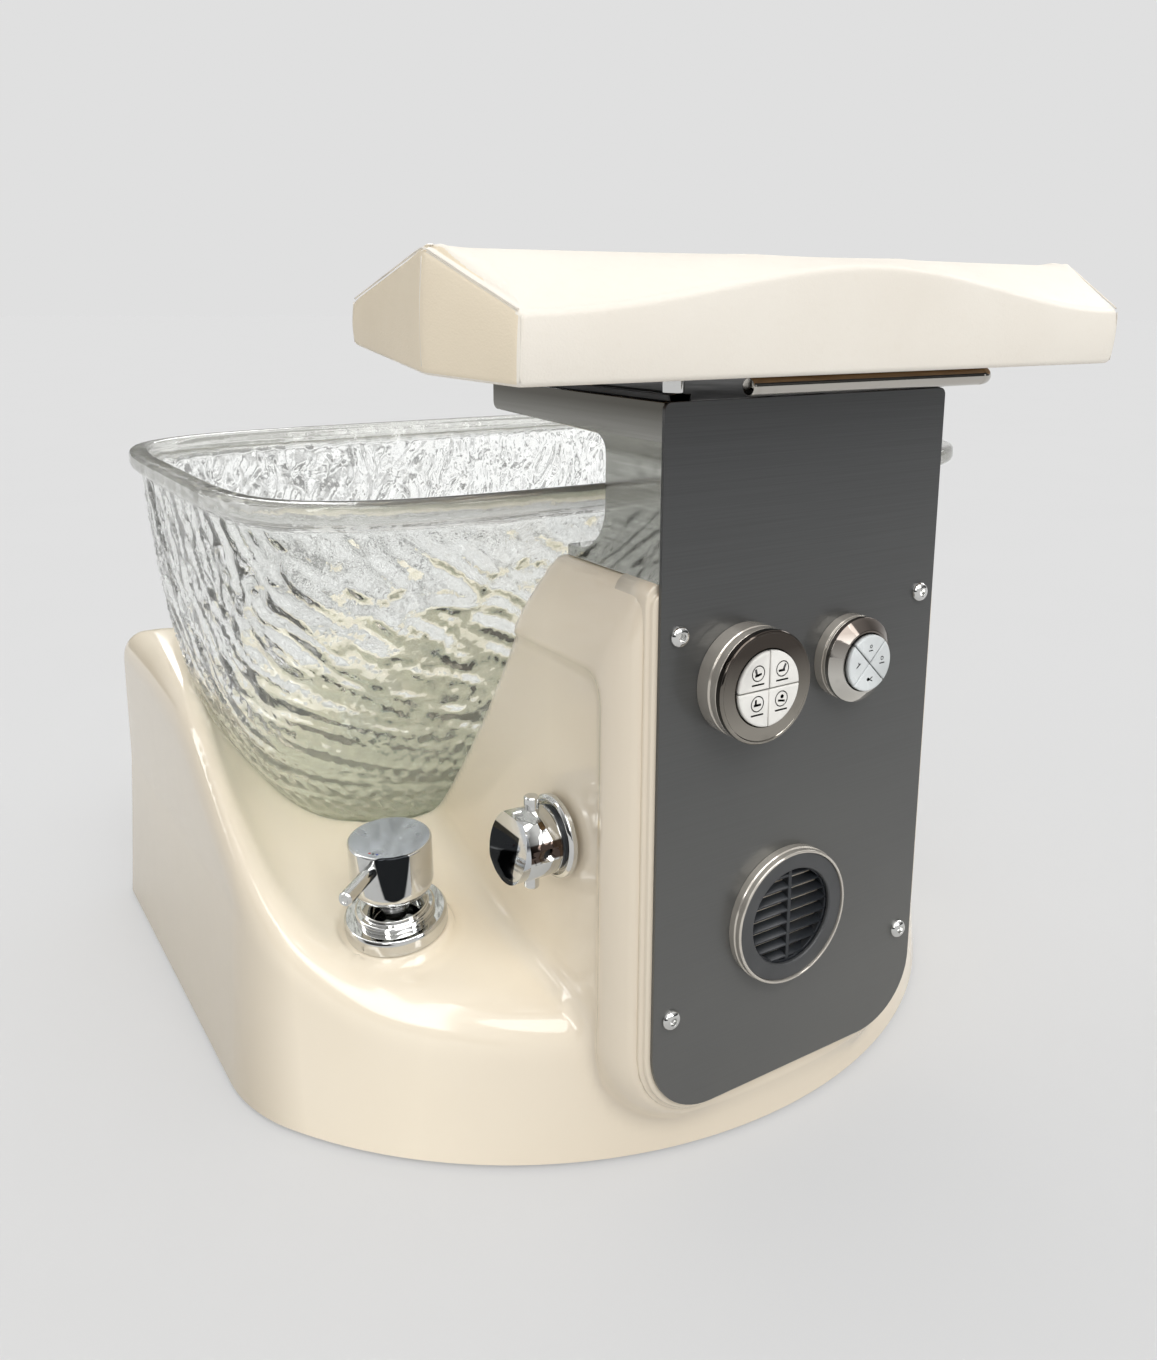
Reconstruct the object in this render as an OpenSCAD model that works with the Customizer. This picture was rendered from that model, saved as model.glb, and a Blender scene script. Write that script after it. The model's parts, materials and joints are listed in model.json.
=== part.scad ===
// Pedicure foot-spa unit: moulded base with a glass foot bath, a polished column with a dark
// front panel, and a sliding footrest on top. Millimetres. X runs across the unit, Y runs from
// the control panel towards the seated client, Z is up and the floor is at zero.

/* [Base] */
// Width of the moulded base
base_w = 660; // [620:5:700]
// Depth of the base, from the panel face to its rear wall
base_d = 611; // [590:5:650]
// Height of the rear plateau
rear_h = 268; // [255:1:285]
// Height of the crest at the front
front_h = 116; // [110:1:122]
// Depth at which the side crest starts to climb
climb_y0 = 50; // [40:1:60]
// Depth at which the side crest reaches the plateau
climb_y1 = 400; // [380:5:420]
// How much the bowed front's radius exceeds half the width
bow_extra = 36; // [30:1:50]
// Radius that joins the bowed front to the side walls
side_r = 135; // [110:1:150]
// Radius of the rear corners in plan
rear_r = 28; // [15:1:40]
// How far the bowed front lies behind the panel face
bow_in = 4; // [3.5:0.5:6]
// Wall of the moulded shell
shell_t = 6; // [4:0.5:8]

/* [Valleys beside the tower] */
// Distance of the valley's rising side from the side of the base
valley_in = 95; // [85:1:105]
// Radius of the valley's rising outer side
valley_r = 100; // [90:1:110]
// Lowest height of each valley
valley_h = 112; // [108:1:114]
// Depth at which the valley starts to rise
valley_y = 110; // [95:1:120]
// Rise of the valley towards the rear, in degrees
valley_a = 15; // [12:0.5:17]
// Turn of the rising part towards the centre line, in degrees
valley_turn = 8; // [6:0.5:10]
// Length of the rising part
valley_len = 250; // [240:5:260]

/* [Tower] */
// Width of the tower
tower_w = 286; // [282:1:300]
// Height of the tower's flat top
tower_h = 410; // [400:1:415]
// Height at which the tower's sides start to lean in
shoulder_h = 368; // [350:1:380]
// Radius of the tower's upright front corners
tower_r = 30; // [20:1:32]
// Height at which the tower leaves the bowed front
tower_z0 = 96; // [85:1:104]
// Width of the plinth's border round the panel
bead_w = 7; // [5:0.5:8]
// Size of the step along the plinth's front edge
bead_step = 3; // [1:0.5:4]

/* [Front panel] */
// Width of the panel
panel_w = 240; // [236:1:242]
// Height of the panel's lower edge above the floor
panel_z0 = 42.5; // [40:0.5:50]
// Thickness of the panel
panel_t = 3; // [2:0.5:4]
// Radius of the lower corners
panel_rb = 50; // [40:1:60]
// Radius of the upper corners
panel_rt = 5; // [2:1:8]
// Spacing of the panel screws across
screw_dx = 212; // [208:1:214]
// Height of the lower panel screws
screw_z0 = 117; // [115:1:125]
// Height of the upper panel screws
screw_z1 = 378; // [370:1:385]
// Diameter of a button head
screw_head_d = 14; // [12:0.5:16]
// Height of a button head
screw_head_h = 4; // [3.5:0.5:5]
// Diameter of a screw shank
screw_d = 8; // [6:0.5:8]
// Across-flats size of the hexagon socket
socket_af = 5; // [4:0.5:6]

/* [Column] */
// Height of the column's top above the bowl's rim
column_rise = 64; // [55:1:72]
// Depth of the column behind the panel face
column_d = 63.5; // [62:0.5:70]
// Reach of the top arm behind the panel face
arm_reach = 212; // [200:1:225]
// Height of the arm at its tip
arm_h = 20.5; // [19:0.5:24]
// Extra height of the arm where it meets the column
arm_drop = 4.5; // [2:0.5:6]
// Width of the column
column_w = 238; // [234:1:240]
// Sheet thickness of the column
sheet_t = 2; // [1:0.25:2.5]
// Radius of the flare at the foot
flare_r = 33; // [28:1:35]
// Depth of the foot behind the panel face
foot_reach = 108; // [104:1:109]

/* [Glass bowl] */
// How far the rim stands past the base on each side
rim_over = 2; // [0:0.5:6]
// Outer front edge of the rim, behind the panel face
rim_y0 = 98; // [94:1:102]
// Outer rear edge of the rim, behind the panel face
rim_y1 = 557; // [545:1:570]
// Height of the rim above the floor
rim_h = 457; // [450:1:470]
// How far the rim stands out from the wall
rim_lip = 7; // [5:0.5:9]
// Thickness of the rim
rim_t = 12; // [10:0.5:16]
// Height of the bowl's underside above the floor
bowl_z0 = 120; // [118:0.5:124]
// Thickness of the glass wall
glass_t = 9; // [7:0.5:11]
// Thickness of the glass floor
glass_floor = 14; // [10:0.5:16]
// How far the front wall runs in from rim to floor
front_in = 213; // [205:1:220]
// How far the side walls run in from rim to floor
side_in = 140; // [130:1:150]
// How far the rear wall runs in from rim to floor
rear_in = 80; // [70:1:90]
// Squareness of the rim's plan, where 2 is an ellipse
rim_square = 4.9; // [4:0.1:6]
// Squareness of the floor's plan
floor_square = 3.4; // [3:0.1:4]
// Room between the glass and the moulded recess
bowl_gap = 1.5; // [1:0.25:2]
// Thickness of the seal under the bowl
seal_t = 2; // [1:0.5:3]

/* [Drain] */
// Depth position of the drain
drain_y = 390; // [380:1:400]
// Radius of the drain hole in the glass
drain_r = 24; // [22:0.5:26]
// Radius of the drain flange
drain_flange_r = 36; // [32:1:40]
// Bore radius of the drain
drain_bore = 18; // [16:0.5:19]
// Lower end of the tailpiece above the floor
tail_z0 = 44; // [30:1:60]
// Outer radius of the tailpiece
tail_r = 16; // [15:0.5:17]
// How far the plug lifts
plug_lift = 10; // [6:0.5:12]

/* [Footrest pad] */
// Length of the pad's front and rear edges
pad_edge = 482; // [470:1:500]
// Length of the pad over its pointed ends
pad_len = 530; // [515:1:545]
// Depth of the pad
pad_d = 217; // [205:1:230]
// Place of the ridge behind the pad's front edge
ridge_v = 61; // [55:1:70]
// Height of the ridge
ridge_h = 66; // [60:1:72]
// Height of the pad's front corners
corner_hf = 38; // [34:1:42]
// Height of the pad's rear corners
corner_hr = 29; // [26:1:34]
// Height of the front edge in the middle
crest_hf = 64; // [58:1:65]
// Height of the rear edge in the middle
crest_hr = 52; // [45:1:56]
// How far the pad's front edge stands before the panel face
pad_front = 42.5; // [40:0.5:45]
// Height of the pad's lower front edge above the column top
pad_lift = 15; // [14.5:0.25:18]
// Slope of the pad, higher at the rear, in degrees
pad_tilt = 3.63; // [3:0.01:4.5]
// Thickness of the board in the pad
board_t = 9; // [6:0.5:12]
// Width of the cover's border round the board
wrap_w = 12; // [10:1:16]

/* [Footrest slide] */
// Distance of each rail from the centre line
rail_x = 107; // [104:0.5:108]
// Width of a rail
rail_w = 17; // [15:0.5:18]
// Height of a rail
rail_h = 4; // [4:0.1:4.2]
// Radius of a sliding post
post_r = 6.6; // [5:0.1:7]
// Depth position of the front posts
post_y0 = 10; // [9:0.5:14]
// Depth position of the rear posts
post_y1 = 112; // [100:1:118]
// Thickness of the carrier plate
plate_t = 5; // [4:0.5:5]
// Width of the carrier plate
plate_w = 258; // [240:1:260]
// How far the footrest slides to the rear
slide_travel = 76; // [40:1:76]
// Running clearance of the slide
slide_gap = 0.25; // [0.15:0.05:0.3]

/* [Release lever] */
// Diameter of the lever's grip
grip_d = 12; // [10:0.5:12]
// Left end of the grip from the centre line
grip_x0 = -74; // [-90:1:-60]
// Right-hand arm of the lever from the centre line
grip_x1 = 141; // [139:0.5:146]
// Distance of the grip before the panel face
grip_out = 19; // [17:0.5:24]
// Depth position of the lever's cross shaft
shaft_y = 99; // [98.5:0.25:99.5]
// Depth of the carrier plate's notch that passes the shaft's lugs
notch_d = 34; // [32:1:50]
// Diameter of the cross shaft
shaft_d = 8; // [6:0.5:8]
// Height of the lever's axis above the column top
shaft_lift = 8.6; // [8.5:0.1:9]
// Bend radius of the lever
bend_r = 13; // [10:0.5:18]

/* [Chair control] */
// Distance of the chair control from the centre line
chair_x = -54.6; // [-58:0.1:-50]
// Depth of the chair control below the tower's top
chair_drop = 67.2; // [60:0.1:75]
// Radius of its chrome housing
chair_r = 37.1; // [35:0.1:39]
// Radius of its keypad
chair_key_r = 24.6; // [22:0.1:26]
// How far it stands out from the panel
chair_out = 23.8; // [20:0.1:26]

/* [Jet control] */
// Distance of the jet control from the centre line
jet_x = 37; // [36:0.1:46]
// Depth of the jet control below the tower's top
jet_drop = 67.2; // [60:0.1:75]
// Radius of its chrome housing
jet_r = 29.3; // [28.5:0.1:31]
// Radius of its keypad
jet_key_r = 19.3; // [18:0.1:20.5]
// How far it stands out from the panel
jet_out = 19; // [17.5:0.1:21]

/* [Keys] */
// Gap between the keys and round them
key_gap = 0.8; // [0.6:0.1:1.2]
// Travel of a key
key_travel = 1.5; // [1:0.1:2]
// Thickness of a key
key_t = 6; // [5:0.5:7]
// How far a chair key stands out of its ring
chair_key_out = 3; // [2:0.1:3.2]
// How far a jet key stands out of its ring
jet_key_out = 4; // [2.5:0.1:4.2]
// How far the jet control's ring falls away to its edge
jet_slope = 4; // [2:0.1:5]

/* [Vent] */
// Distance of the vent from the centre line
vent_x = -9.8; // [-14:0.1:-6]
// Height of the vent
vent_z = 165.9; // [160:0.1:172]
// Outer radius of the vent's chrome ring
vent_r = 48.8; // [48:0.1:52]
// Outer radius of the vent's dark ring
vent_dark_r = 46; // [44:0.1:46.5]
// Radius of the grille
vent_hole_r = 34.5; // [33:0.1:36]
// How far the vent stands out from the panel
vent_out = 10; // [9.5:0.1:14]
// Number of slats
slat_count = 8; // [5:1:9]
// Thickness of a slat
slat_t = 2.4; // [1.6:0.1:3]
// Number of fan blades
blade_count = 7; // [5:1:9]

/* [Mixer tap] */
// Distance of the tap from the side of the base
mixer_in = 111.5; // [110:0.5:113]
// Depth position of the tap
mixer_y = 183.5; // [182:0.5:185]
// Height of the tap's seat
mixer_z = 131.5; // [131:0.5:133]
// Radius of the tap's base plate
mixer_plate_r = 37.5; // [35:0.5:39]
// Radius of the tap's handle
mixer_r = 30; // [29:0.5:31]
// Height of the tap's handle
mixer_h = 43.5; // [40:0.5:46]
// Height of the handle's hinge over the seat
hinge_h = 28; // [27:0.5:30]
// Lean of the tap's seat towards its lever, in degrees
seat_tilt = 10; // [8:0.5:12]
// How far the handle stands lifted from its closed position, in degrees
rest_lift = 6; // [4:0.5:8]
// Direction of the pin lever in plan, in degrees
pin_turn = 219; // [210:1:225]
// Diameter of the pin lever
pin_d = 10.5; // [8:0.5:12]
// Length of the pin lever outside the handle
pin_len = 36; // [30:1:40]

/* [Diverter] */
// Depth position of the diverter
diverter_y = 84; // [80:1:88]
// Height of the diverter
diverter_z = 222.5; // [216:0.5:228]
// Radius of the diverter's wall plate
diverter_r = 28.5; // [27.5:0.5:31]
// How far the diverter stands out
diverter_out = 40; // [38:0.5:44]
// Radius of the diverter's knob
knob_r = 24; // [22:0.5:25]
// Distance of the grip pins' ends from the axis
knob_pin_reach = 33; // [31:0.5:36]

/* [Inner frame] */
// Width of a frame tube
tube_w = 22; // [18:1:22]
// Depth of an upright
upright_d = 30; // [26:1:31]
// Front face of the uprights behind the panel face
upright_y = 26; // [25:0.5:28]
// Height of the floor tubes
tube_h = 30; // [25:1:32]
// Room under the floor tubes
foot_h = 10; // [8:0.5:14]

/* [Hidden] */
$fn = 64;
EPS = 0.01;
FIT = 0.3;
front_most = pad_front + (crest_hf - 3) * sin(pad_tilt);
mid_y = (base_d - front_most) / 2;
seat_z = bowl_z0 - seal_t;
bowl_deep = rim_h - bowl_z0;
front_r = base_w / 2 + bow_extra;
valley_x = base_w / 2 - valley_in;
mixer_x = base_w / 2 - mixer_in;
rim_w = base_w + 2 * rim_over;
column_top = rim_h + column_rise;
chair_z = tower_h - chair_drop;
jet_z = tower_h - jet_drop;
plan_cy = front_r + bow_in;
fillet_x = base_w / 2 - side_r;
fillet_y = plan_cy - sqrt(pow(front_r - side_r, 2) - pow(fillet_x, 2));
fillet_a = atan2(fillet_y - plan_cy, fillet_x);
grip_z = column_top + shaft_lift;
upright_x = column_w / 2 - sheet_t - 2 - tube_w;
rail_y0 = 3;
foot_slot_w = 13;
rail_stop = 8.5;
rail_len = post_y1 + slide_travel + foot_slot_w / 2 + rail_stop - rail_y0;
pad_z0 = column_top + pad_lift;
flank_x = tower_w / 2;

// ---------- helpers ----------

// Puts the finished piece in the part's frame, whose origin is under the middle of the unit
module place() translate([0, -mid_y, 0]) children();

// Extrudes a YZ outline across the unit, centred on the centre line
module across(w) rotate([90, 0, 90]) translate([0, 0, -w / 2]) linear_extrude(w) children();

// Extrudes an XZ outline from depth y0 to depth y1
module deep(y0, y1) translate([0, y1, 0]) rotate([90, 0, 0]) linear_extrude(y1 - y0) children();

// A cylinder whose axis runs to the rear from y0 to y1
module rod_y(r, y0, y1) translate([0, y0, 0]) rotate([-90, 0, 0]) cylinder(r = r, h = y1 - y0);

// A cylinder whose axis runs across from x0 to x1
module rod_x(r, x0, x1) translate([x0, 0, 0]) rotate([0, 90, 0]) cylinder(r = r, h = x1 - x0);

// Turns a profile of [radius, distance in front of the panel] round an axis along Y
module turned_y(pts) rotate([90, 0, 0]) rotate_extrude() polygon(pts);

// A cylinder lying front to rear with its mouth opened by a tube
module ring_y(ro, ri, y0, y1) difference() {
    rod_y(ro, y0, y1);
    rod_y(ri, y0 - 1, y1 + 1);
}

function arc(cx, cy, r, a0, a1, n) =
    [for (i = [0:n]) [cx + r * cos(a0 + (a1 - a0) * i / n), cy + r * sin(a0 + (a1 - a0) * i / n)]];

function mirrored(pts) = [for (i = [len(pts) - 1:-1:0]) [-pts[i][0], pts[i][1]]];

function smooth(t) = t <= 0 ? 0 : t >= 1 ? 1 : t * t * (3 - 2 * t);

function mix(a, b, t) = a + (b - a) * t;

// ---------- moulded base ----------

// Right half of the base's plan, drawn in by t
function base_half(t) = concat(
    arc(0, plan_cy, front_r - t, -90, fillet_a, 18),
    arc(fillet_x, fillet_y, side_r - t, fillet_a, 0, 6),
    arc(base_w / 2 - rear_r, base_d - rear_r, rear_r - t, 0, 90, 6));

module base_plan(t) polygon(concat(base_half(t), mirrored(base_half(t))));

// Height of the side crest at depth y
function crest(y) = mix(front_h, rear_h, smooth((y - climb_y0) / (climb_y1 - climb_y0)));

module crest_side(t) polygon(concat(
    [[-20, -20], [-20, front_h - t]],
    [for (i = [0:16]) let (y = mix(climb_y0, climb_y1, i / 16)) [y, crest(y) - t]],
    [[base_d + 20, rear_h - t], [base_d + 20, -20]]));

// Section of a valley: flat floor and rising outer side, grown downwards by g
module valley_section(g) polygon(concat([[tower_w / 2 - 40, -g]],
    arc(valley_x, valley_r, valley_r + g, -90, 0, 8),
    [[valley_x + valley_r + g, 240], [tower_w / 2 - 40, 240]]));

// Level front stretch and rising rear stretch of the valley beside the tower
module valley(g) {
    translate([0, 0, valley_h]) deep(-60, valley_y) valley_section(g);
    translate([0, valley_y, valley_h]) difference() {
        rotate([valley_a, 0, valley_turn]) translate([0, 0, -EPS]) deep(-80, valley_len)
            valley_section(g);
        translate([0, -400, -300]) cube([600, 400, 900]);
    }
}

// The low part of the base, drawn in by t
module base_low(t) difference() {
    intersection() {
        linear_extrude(rear_h + 10) base_plan(t);
        across(base_w + 20) crest_side(t);
    }
    valley(t);
    mirror([1, 0, 0]) valley(t);
}

// Plan of the tower with rounded front corners
function tower_half(t) = concat([[0, panel_t + t]],
    arc(flank_x - tower_r, panel_t + tower_r, tower_r - t, -90, 0, 6),
    [[flank_x - t, 330]]);

module tower(t, z0) intersection() {
    translate([0, 0, z0]) linear_extrude(tower_h - t - z0)
        polygon(concat(tower_half(t), mirrored(tower_half(t))));
    deep(-10, 340) polygon([[-flank_x - 5, 0], [-flank_x - 5 + t, shoulder_h],
        [-flank_x + t, shoulder_h], [-flank_x + t + 20, tower_h + EPS],
        [flank_x - t - 20, tower_h + EPS], [flank_x - t, shoulder_h],
        [flank_x + 5 - t, shoulder_h], [flank_x + 5, 0]]);
}

// Outline of the panel grown by g: round lower corners, nearly square upper ones
function panel_half(g, top) = concat(
    [[0, panel_z0 - g]],
    arc(panel_w / 2 - panel_rb, panel_z0 + panel_rb, panel_rb + g, -90, 0, 8),
    arc(panel_w / 2 - panel_rt, top - panel_rt, panel_rt + g, 0, 90, 4));

module panel_face(g, top) polygon(concat(panel_half(g, top), mirrored(panel_half(g, top))));

// Plinth of the base behind the lower part of the panel, with a stepped front edge
module plinth() {
    deep(panel_t, 70) panel_face(bead_w - bead_step, tower_h - panel_rt - bead_w);
    deep(panel_t + bead_step, 70) panel_face(bead_w, tower_h - panel_rt - bead_w);
}

// Plan of the bowl at share f of the way down from rim to floor, grown by g
bowl_n = 44;
function run_front(f) = front_in * pow(f, 1.4);
function run_side(f) = side_in * (0.2 * f + 0.8 * pow(f, 4));
function run_rear(f) = rear_in * (0.45 * f + 0.55 * pow(f, 4));
function bowl_x(f) = rim_w / 2 - rim_lip - run_side(f);
function bowl_y0(f) = rim_y0 + rim_lip + run_front(f);
function bowl_y1(f) = rim_y1 - rim_lip - run_rear(f);
function signed_pow(v, e) = sign(v) * pow(abs(v), e);
function bowl_loop(f, g) = let (a = bowl_x(f) + g, b = (bowl_y1(f) - bowl_y0(f)) / 2 + g,
    mid = (bowl_y0(f) + bowl_y1(f)) / 2, e = 2 / mix(rim_square, floor_square, f))
    [for (i = [0:bowl_n - 1]) let (t = 360 * (i + 0.5) / bowl_n)
        [a * signed_pow(cos(t), e), mid + b * signed_pow(sin(t), e)]];

// One closed ring of points at height z from a plan loop
function ring_at(loop, z) = [for (p = loop) [p[0], p[1], z]];

// Shares of the depth at which the bowl's wall has a ring
wall_steps = [1, 0.96, 0.88, 0.77, 0.65, 0.52, 0.39, 0.26, 0.13, 0];

// Recess that takes the bowl, grown by g all round
module bowl_recess(g) lidded_solid(concat(
    [ring_at(bowl_loop(1, bowl_gap + g), seat_z - g)],
    [for (f = wall_steps) ring_at(bowl_loop(f, bowl_gap + g), rim_h - bowl_deep * f)]),
    [0, drain_y, seat_z - g], [0, drain_y, rim_h]);

// Skin over open rings, closed at each end by a fan round the given centre
module lidded_solid(rings, low, high) {
    n = len(rings[0]);
    m = len(rings);
    last = (m - 1) * n;
    polyhedron(concat([for (ring = rings, p = ring) p], [low, high]), concat(
        [for (i = [0:n - 1]) [m * n, i, (i + 1) % n]],
        [for (j = [0:m - 2], i = [0:n - 1]) let (a = j * n + i, b = j * n + (i + 1) % n) each
            [[a, a + n, b + n], [a, b + n, b]]],
        [for (i = [0:n - 1]) [m * n + 1, last + (i + 1) % n, last + i]]));
}

// Frame on the tap's tilted seat, with +X along the pin lever
module at_mixer() translate([-mixer_x, mixer_y, mixer_z]) rotate([0, 0, pin_turn])
    rotate([0, seat_tilt, 0]) children();
module at_diverter() translate([-flank_x, diverter_y, diverter_z]) rotate([0, 0, 90]) children();

module base_shell() color("#efe6d2") place() difference() {
    union() {
        difference() {
            base_low(0);
            at_mixer() cylinder(r = mixer_plate_r + seat_rim, h = 100);
        }
        tower(0, tower_z0);
        plinth();
        at_mixer() translate([0, 0, -seat_deep]) cylinder(r = mixer_plate_r + seat_rim, h = seat_deep);
    }
    bowl_recess(0);
    base_inside();
    base_holes();
}

// Border and depth of the flat seat under the tap
seat_rim = 3;
seat_deep = 24;

// The hollow under and inside the moulding
module base_inside() difference() {
    union() {
        difference() {
            intersection() {
                translate([0, 0, -1]) linear_extrude(rear_h + 10) base_plan(shell_t);
                across(base_w + 20) crest_side(shell_t);
            }
            valley(shell_t);
            mirror([1, 0, 0]) valley(shell_t);
        }
        tower(shell_t, tower_z0 + shell_t);
    }
    bowl_recess(shell_t);
    at_mixer() translate([0, 0, -seat_deep - shell_t])
        cylinder(r = mixer_plate_r + seat_rim + shell_t, h = 60);
}

// Openings for the controls, the vent, the taps, the drain and the column's cables
module base_holes() {
    for (x = [-1, 1], z = [screw_z0, screw_z1])
        translate([x * screw_dx / 2, 0, z]) rod_y(screw_d / 2 + FIT, -1, 20);
    translate([chair_x, 0, chair_z]) rod_y(chair_boss_r + FIT, -1, 30);
    translate([jet_x, 0, jet_z]) rod_y(jet_boss_r + FIT, -1, 30);
    translate([vent_x, 0, vent_z]) rod_y(vent_duct_r + FIT, -1, 30);
    at_mixer() translate([0, 0, -60]) cylinder(r = mixer_shank_r + FIT, h = 80);
    at_diverter() rod_y(diverter_shank_r + FIT, -40, 20);
    translate([0, drain_y, seat_z - 40]) cylinder(r = drain_r, h = 60);
    translate([-70, upright_y - 4, tower_h - 40]) cube([140, column_d - upright_y - 4, 60]);
    for (x = [-1, 1]) translate([x * (upright_x + tube_w / 2), upright_y + upright_d / 2, tower_h])
        cube([tube_w + 2, upright_d + 2, 40], center = true);
    for (x = [-1, 1]) translate([x * (upright_x + tube_w / 2) - tube_w / 2 - 1, upright_y - 1, -1])
        cube([tube_w + 2, upright_d + 2, tower_z0 + shell_t + 2]);
}

// ---------- inner frame ----------

module base_frame() color("#5b5f63") place() {
    for (side = [-1, 1]) translate([side * (upright_x + tube_w / 2), 0, foot_h])
        translate([-tube_w / 2, upright_y + 4, 0]) cube([tube_w, base_d - 70, tube_h]);
    for (span = [[cross_y0, cross_w0], [cross_y1, cross_w1]]) difference() {
        translate([-span[1] / 2, span[0], foot_h]) cube([span[1], tube_w, tube_h]);
        for (side = [-1, 1]) translate([side * (upright_x + tube_w / 2), span[0], foot_h])
            translate([-tube_w / 2, -1, -1]) cube([tube_w, tube_w + 2, tube_h + 2]);
        for (side = [-1, 1]) translate([side * (span[1] / 2 - 20), span[0] + tube_w / 2, 0])
            cylinder(r = foot_stem_r + 0.2, h = foot_h + tube_h + 1);
    }
}

cross_y0 = 120;
cross_y1 = base_d - 75;
cross_w0 = 440;
cross_w1 = base_w - 60;
foot_stem_r = 5;
foot_pad_r = 20;
foot_pad_h = 5;

module levelling_feet() color("#2b2b2b") place()
    for (span = [[cross_y0, cross_w0], [cross_y1, cross_w1]], side = [-1, 1])
        translate([side * (span[1] / 2 - 20), span[0] + tube_w / 2, 0]) {
            cylinder(r = foot_pad_r, h = foot_pad_h);
            cylinder(r = foot_stem_r, h = foot_h + tube_h - 4);
        }

module bowl_bearers() color("#b98f5e") place()
    for (y = [drain_y - bearer_dy, drain_y + bearer_dy])
        translate([-bearer_w / 2, y - bearer_t / 2, foot_h + tube_h])
            cube([bearer_w, bearer_t, seat_z - shell_t - foot_h - tube_h]);

bearer_dy = 60;
bearer_w = 260;
bearer_t = 18;

module column_frame() color("#5b5f63") place() for (side = [-1, 1]) difference() {
    translate([side * (upright_x + tube_w / 2) - tube_w / 2, 0, 0]) union() {
        translate([0, upright_y, foot_h + tube_h])
            cube([tube_w, upright_d, column_top - sheet_t - 1 - foot_h - tube_h]);
        translate([0, upright_y, column_top - sheet_t - 1 - frame_arm_h])
            cube([tube_w, arm_reach - upright_y - 12, frame_arm_h]);
    }
    for (z = [screw_z0, screw_z1])
        translate([side * screw_dx / 2, 0, z]) rod_y(screw_d / 2 + 0.1, 0, upright_y + 14);
}

frame_arm_h = arm_h - 2 * sheet_t - 3;

// ---------- column and panel ----------

// Side view of the column with its rear arm, drawn in by t and reaching down by b
function column_side(t, b) = concat(
    [[panel_t + t, tower_h - b], [panel_t + t, column_top - t], [arm_reach - t, column_top - t]],
    arc(arm_reach - 6, column_top - arm_h + 6, 6 - t, 0, -90, 4),
    arc(column_d + 12, column_top - arm_h - arm_drop - 12, 12 + t, 90, 180, 5),
    arc(column_d + flare_r, tower_h + foot_t + flare_r, flare_r + t, 180, 270, 7),
    [[foot_reach - t, tower_h + foot_t - t], [foot_reach - t, tower_h - b]]);

foot_t = 8;

module column_box() color("#b9bcbd") place() difference() {
    across(column_w) polygon(column_side(0, 0));
    across(column_w - 2 * sheet_t) polygon(column_side(sheet_t, 1));
}

module front_panel() color("#4e5052") place() difference() {
    deep(0, panel_t) panel_face(0, column_top);
    for (x = [-1, 1], z = [screw_z0, screw_z1])
        translate([x * screw_dx / 2, 0, z]) rod_y(screw_d / 2 + FIT, -1, 20);
    translate([chair_x, 0, chair_z]) rod_y(chair_boss_r + FIT, -1, 20);
    translate([jet_x, 0, jet_z]) rod_y(jet_boss_r + FIT, -1, 20);
    translate([vent_x, 0, vent_z]) rod_y(vent_duct_r + FIT, -1, 20);
}

module panel_screws() color("#c9cacb") place()
    for (x = [-1, 1], z = [screw_z0, screw_z1]) translate([x * screw_dx / 2, 0, z]) difference() {
        turned_y([[0, -upright_y - 12], [screw_d / 2, -upright_y - 12], [screw_d / 2, 0],
            [screw_head_d / 2, 0], [screw_head_d / 2, screw_head_h * 0.35],
            [screw_head_d * 0.42, screw_head_h * 0.75], [screw_head_d * 0.28, screw_head_h],
            [0, screw_head_h]]);
        rotate([90, 0, 0]) translate([0, 0, screw_head_h - 3])
            cylinder(r = socket_af / 2 / cos(30), h = 10, $fn = 6);
    }

// ---------- glass bowl ----------

function circle_loop(r) = [for (i = [0:bowl_n - 1]) let (t = 360 * (i + 0.5) / bowl_n)
    [r * cos(t), drain_y + r * sin(t)]];

function outer_z(f) = rim_h - bowl_deep * f;
function inner_z(f) = rim_h - (bowl_deep - glass_floor) * f;

function glass_rings() = let (w = len(wall_steps)) concat(
    [ring_at(circle_loop(drain_r), bowl_z0)],
    [for (i = [0:w - 2]) ring_at(bowl_loop(wall_steps[i], 0), outer_z(wall_steps[i]))],
    [ring_at(bowl_loop(0.06, 0), rim_h - rim_t - 5)],
    [ring_at(bowl_loop(0, rim_lip - 2), rim_h - rim_t)],
    [ring_at(bowl_loop(0, rim_lip), rim_h - rim_t + 3)],
    [ring_at(bowl_loop(0, rim_lip), rim_h - 4)],
    [ring_at(bowl_loop(0, rim_lip - 3), rim_h)],
    [ring_at(bowl_loop(0, 4 - glass_t), rim_h)],
    [ring_at(bowl_loop(0, -glass_t), rim_h - 4)],
    [for (i = [w - 2:-1:0]) ring_at(bowl_loop(wall_steps[i], -glass_t), inner_z(wall_steps[i]))],
    [ring_at(circle_loop(drain_r), bowl_z0 + glass_floor)]);

// Skin over rings of points that close on themselves in both directions
module ring_solid(rings) {
    n = len(rings[0]);
    m = len(rings);
    polyhedron([for (ring = rings, p = ring) p],
        [for (j = [0:m - 1], i = [0:n - 1]) let (a = j * n + i, b = j * n + (i + 1) % n,
            c = ((j + 1) % m) * n + (i + 1) % n, d = ((j + 1) % m) * n + i) each
            [[a, d, c], [a, c, b]]]);
}

module glass_bowl() color("#dfe8e6", 0.5) place() ring_solid(glass_rings());

module bowl_seal() color("#6a6d6e") place() translate([0, 0, seat_z]) difference() {
    linear_extrude(seal_t) polygon(bowl_loop(1, -4));
    translate([0, drain_y, -1]) cylinder(r = drain_flange_r, h = seal_t + 2);
}

// ---------- drain ----------

module at_drain() translate([0, drain_y, 0]) children();

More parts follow.
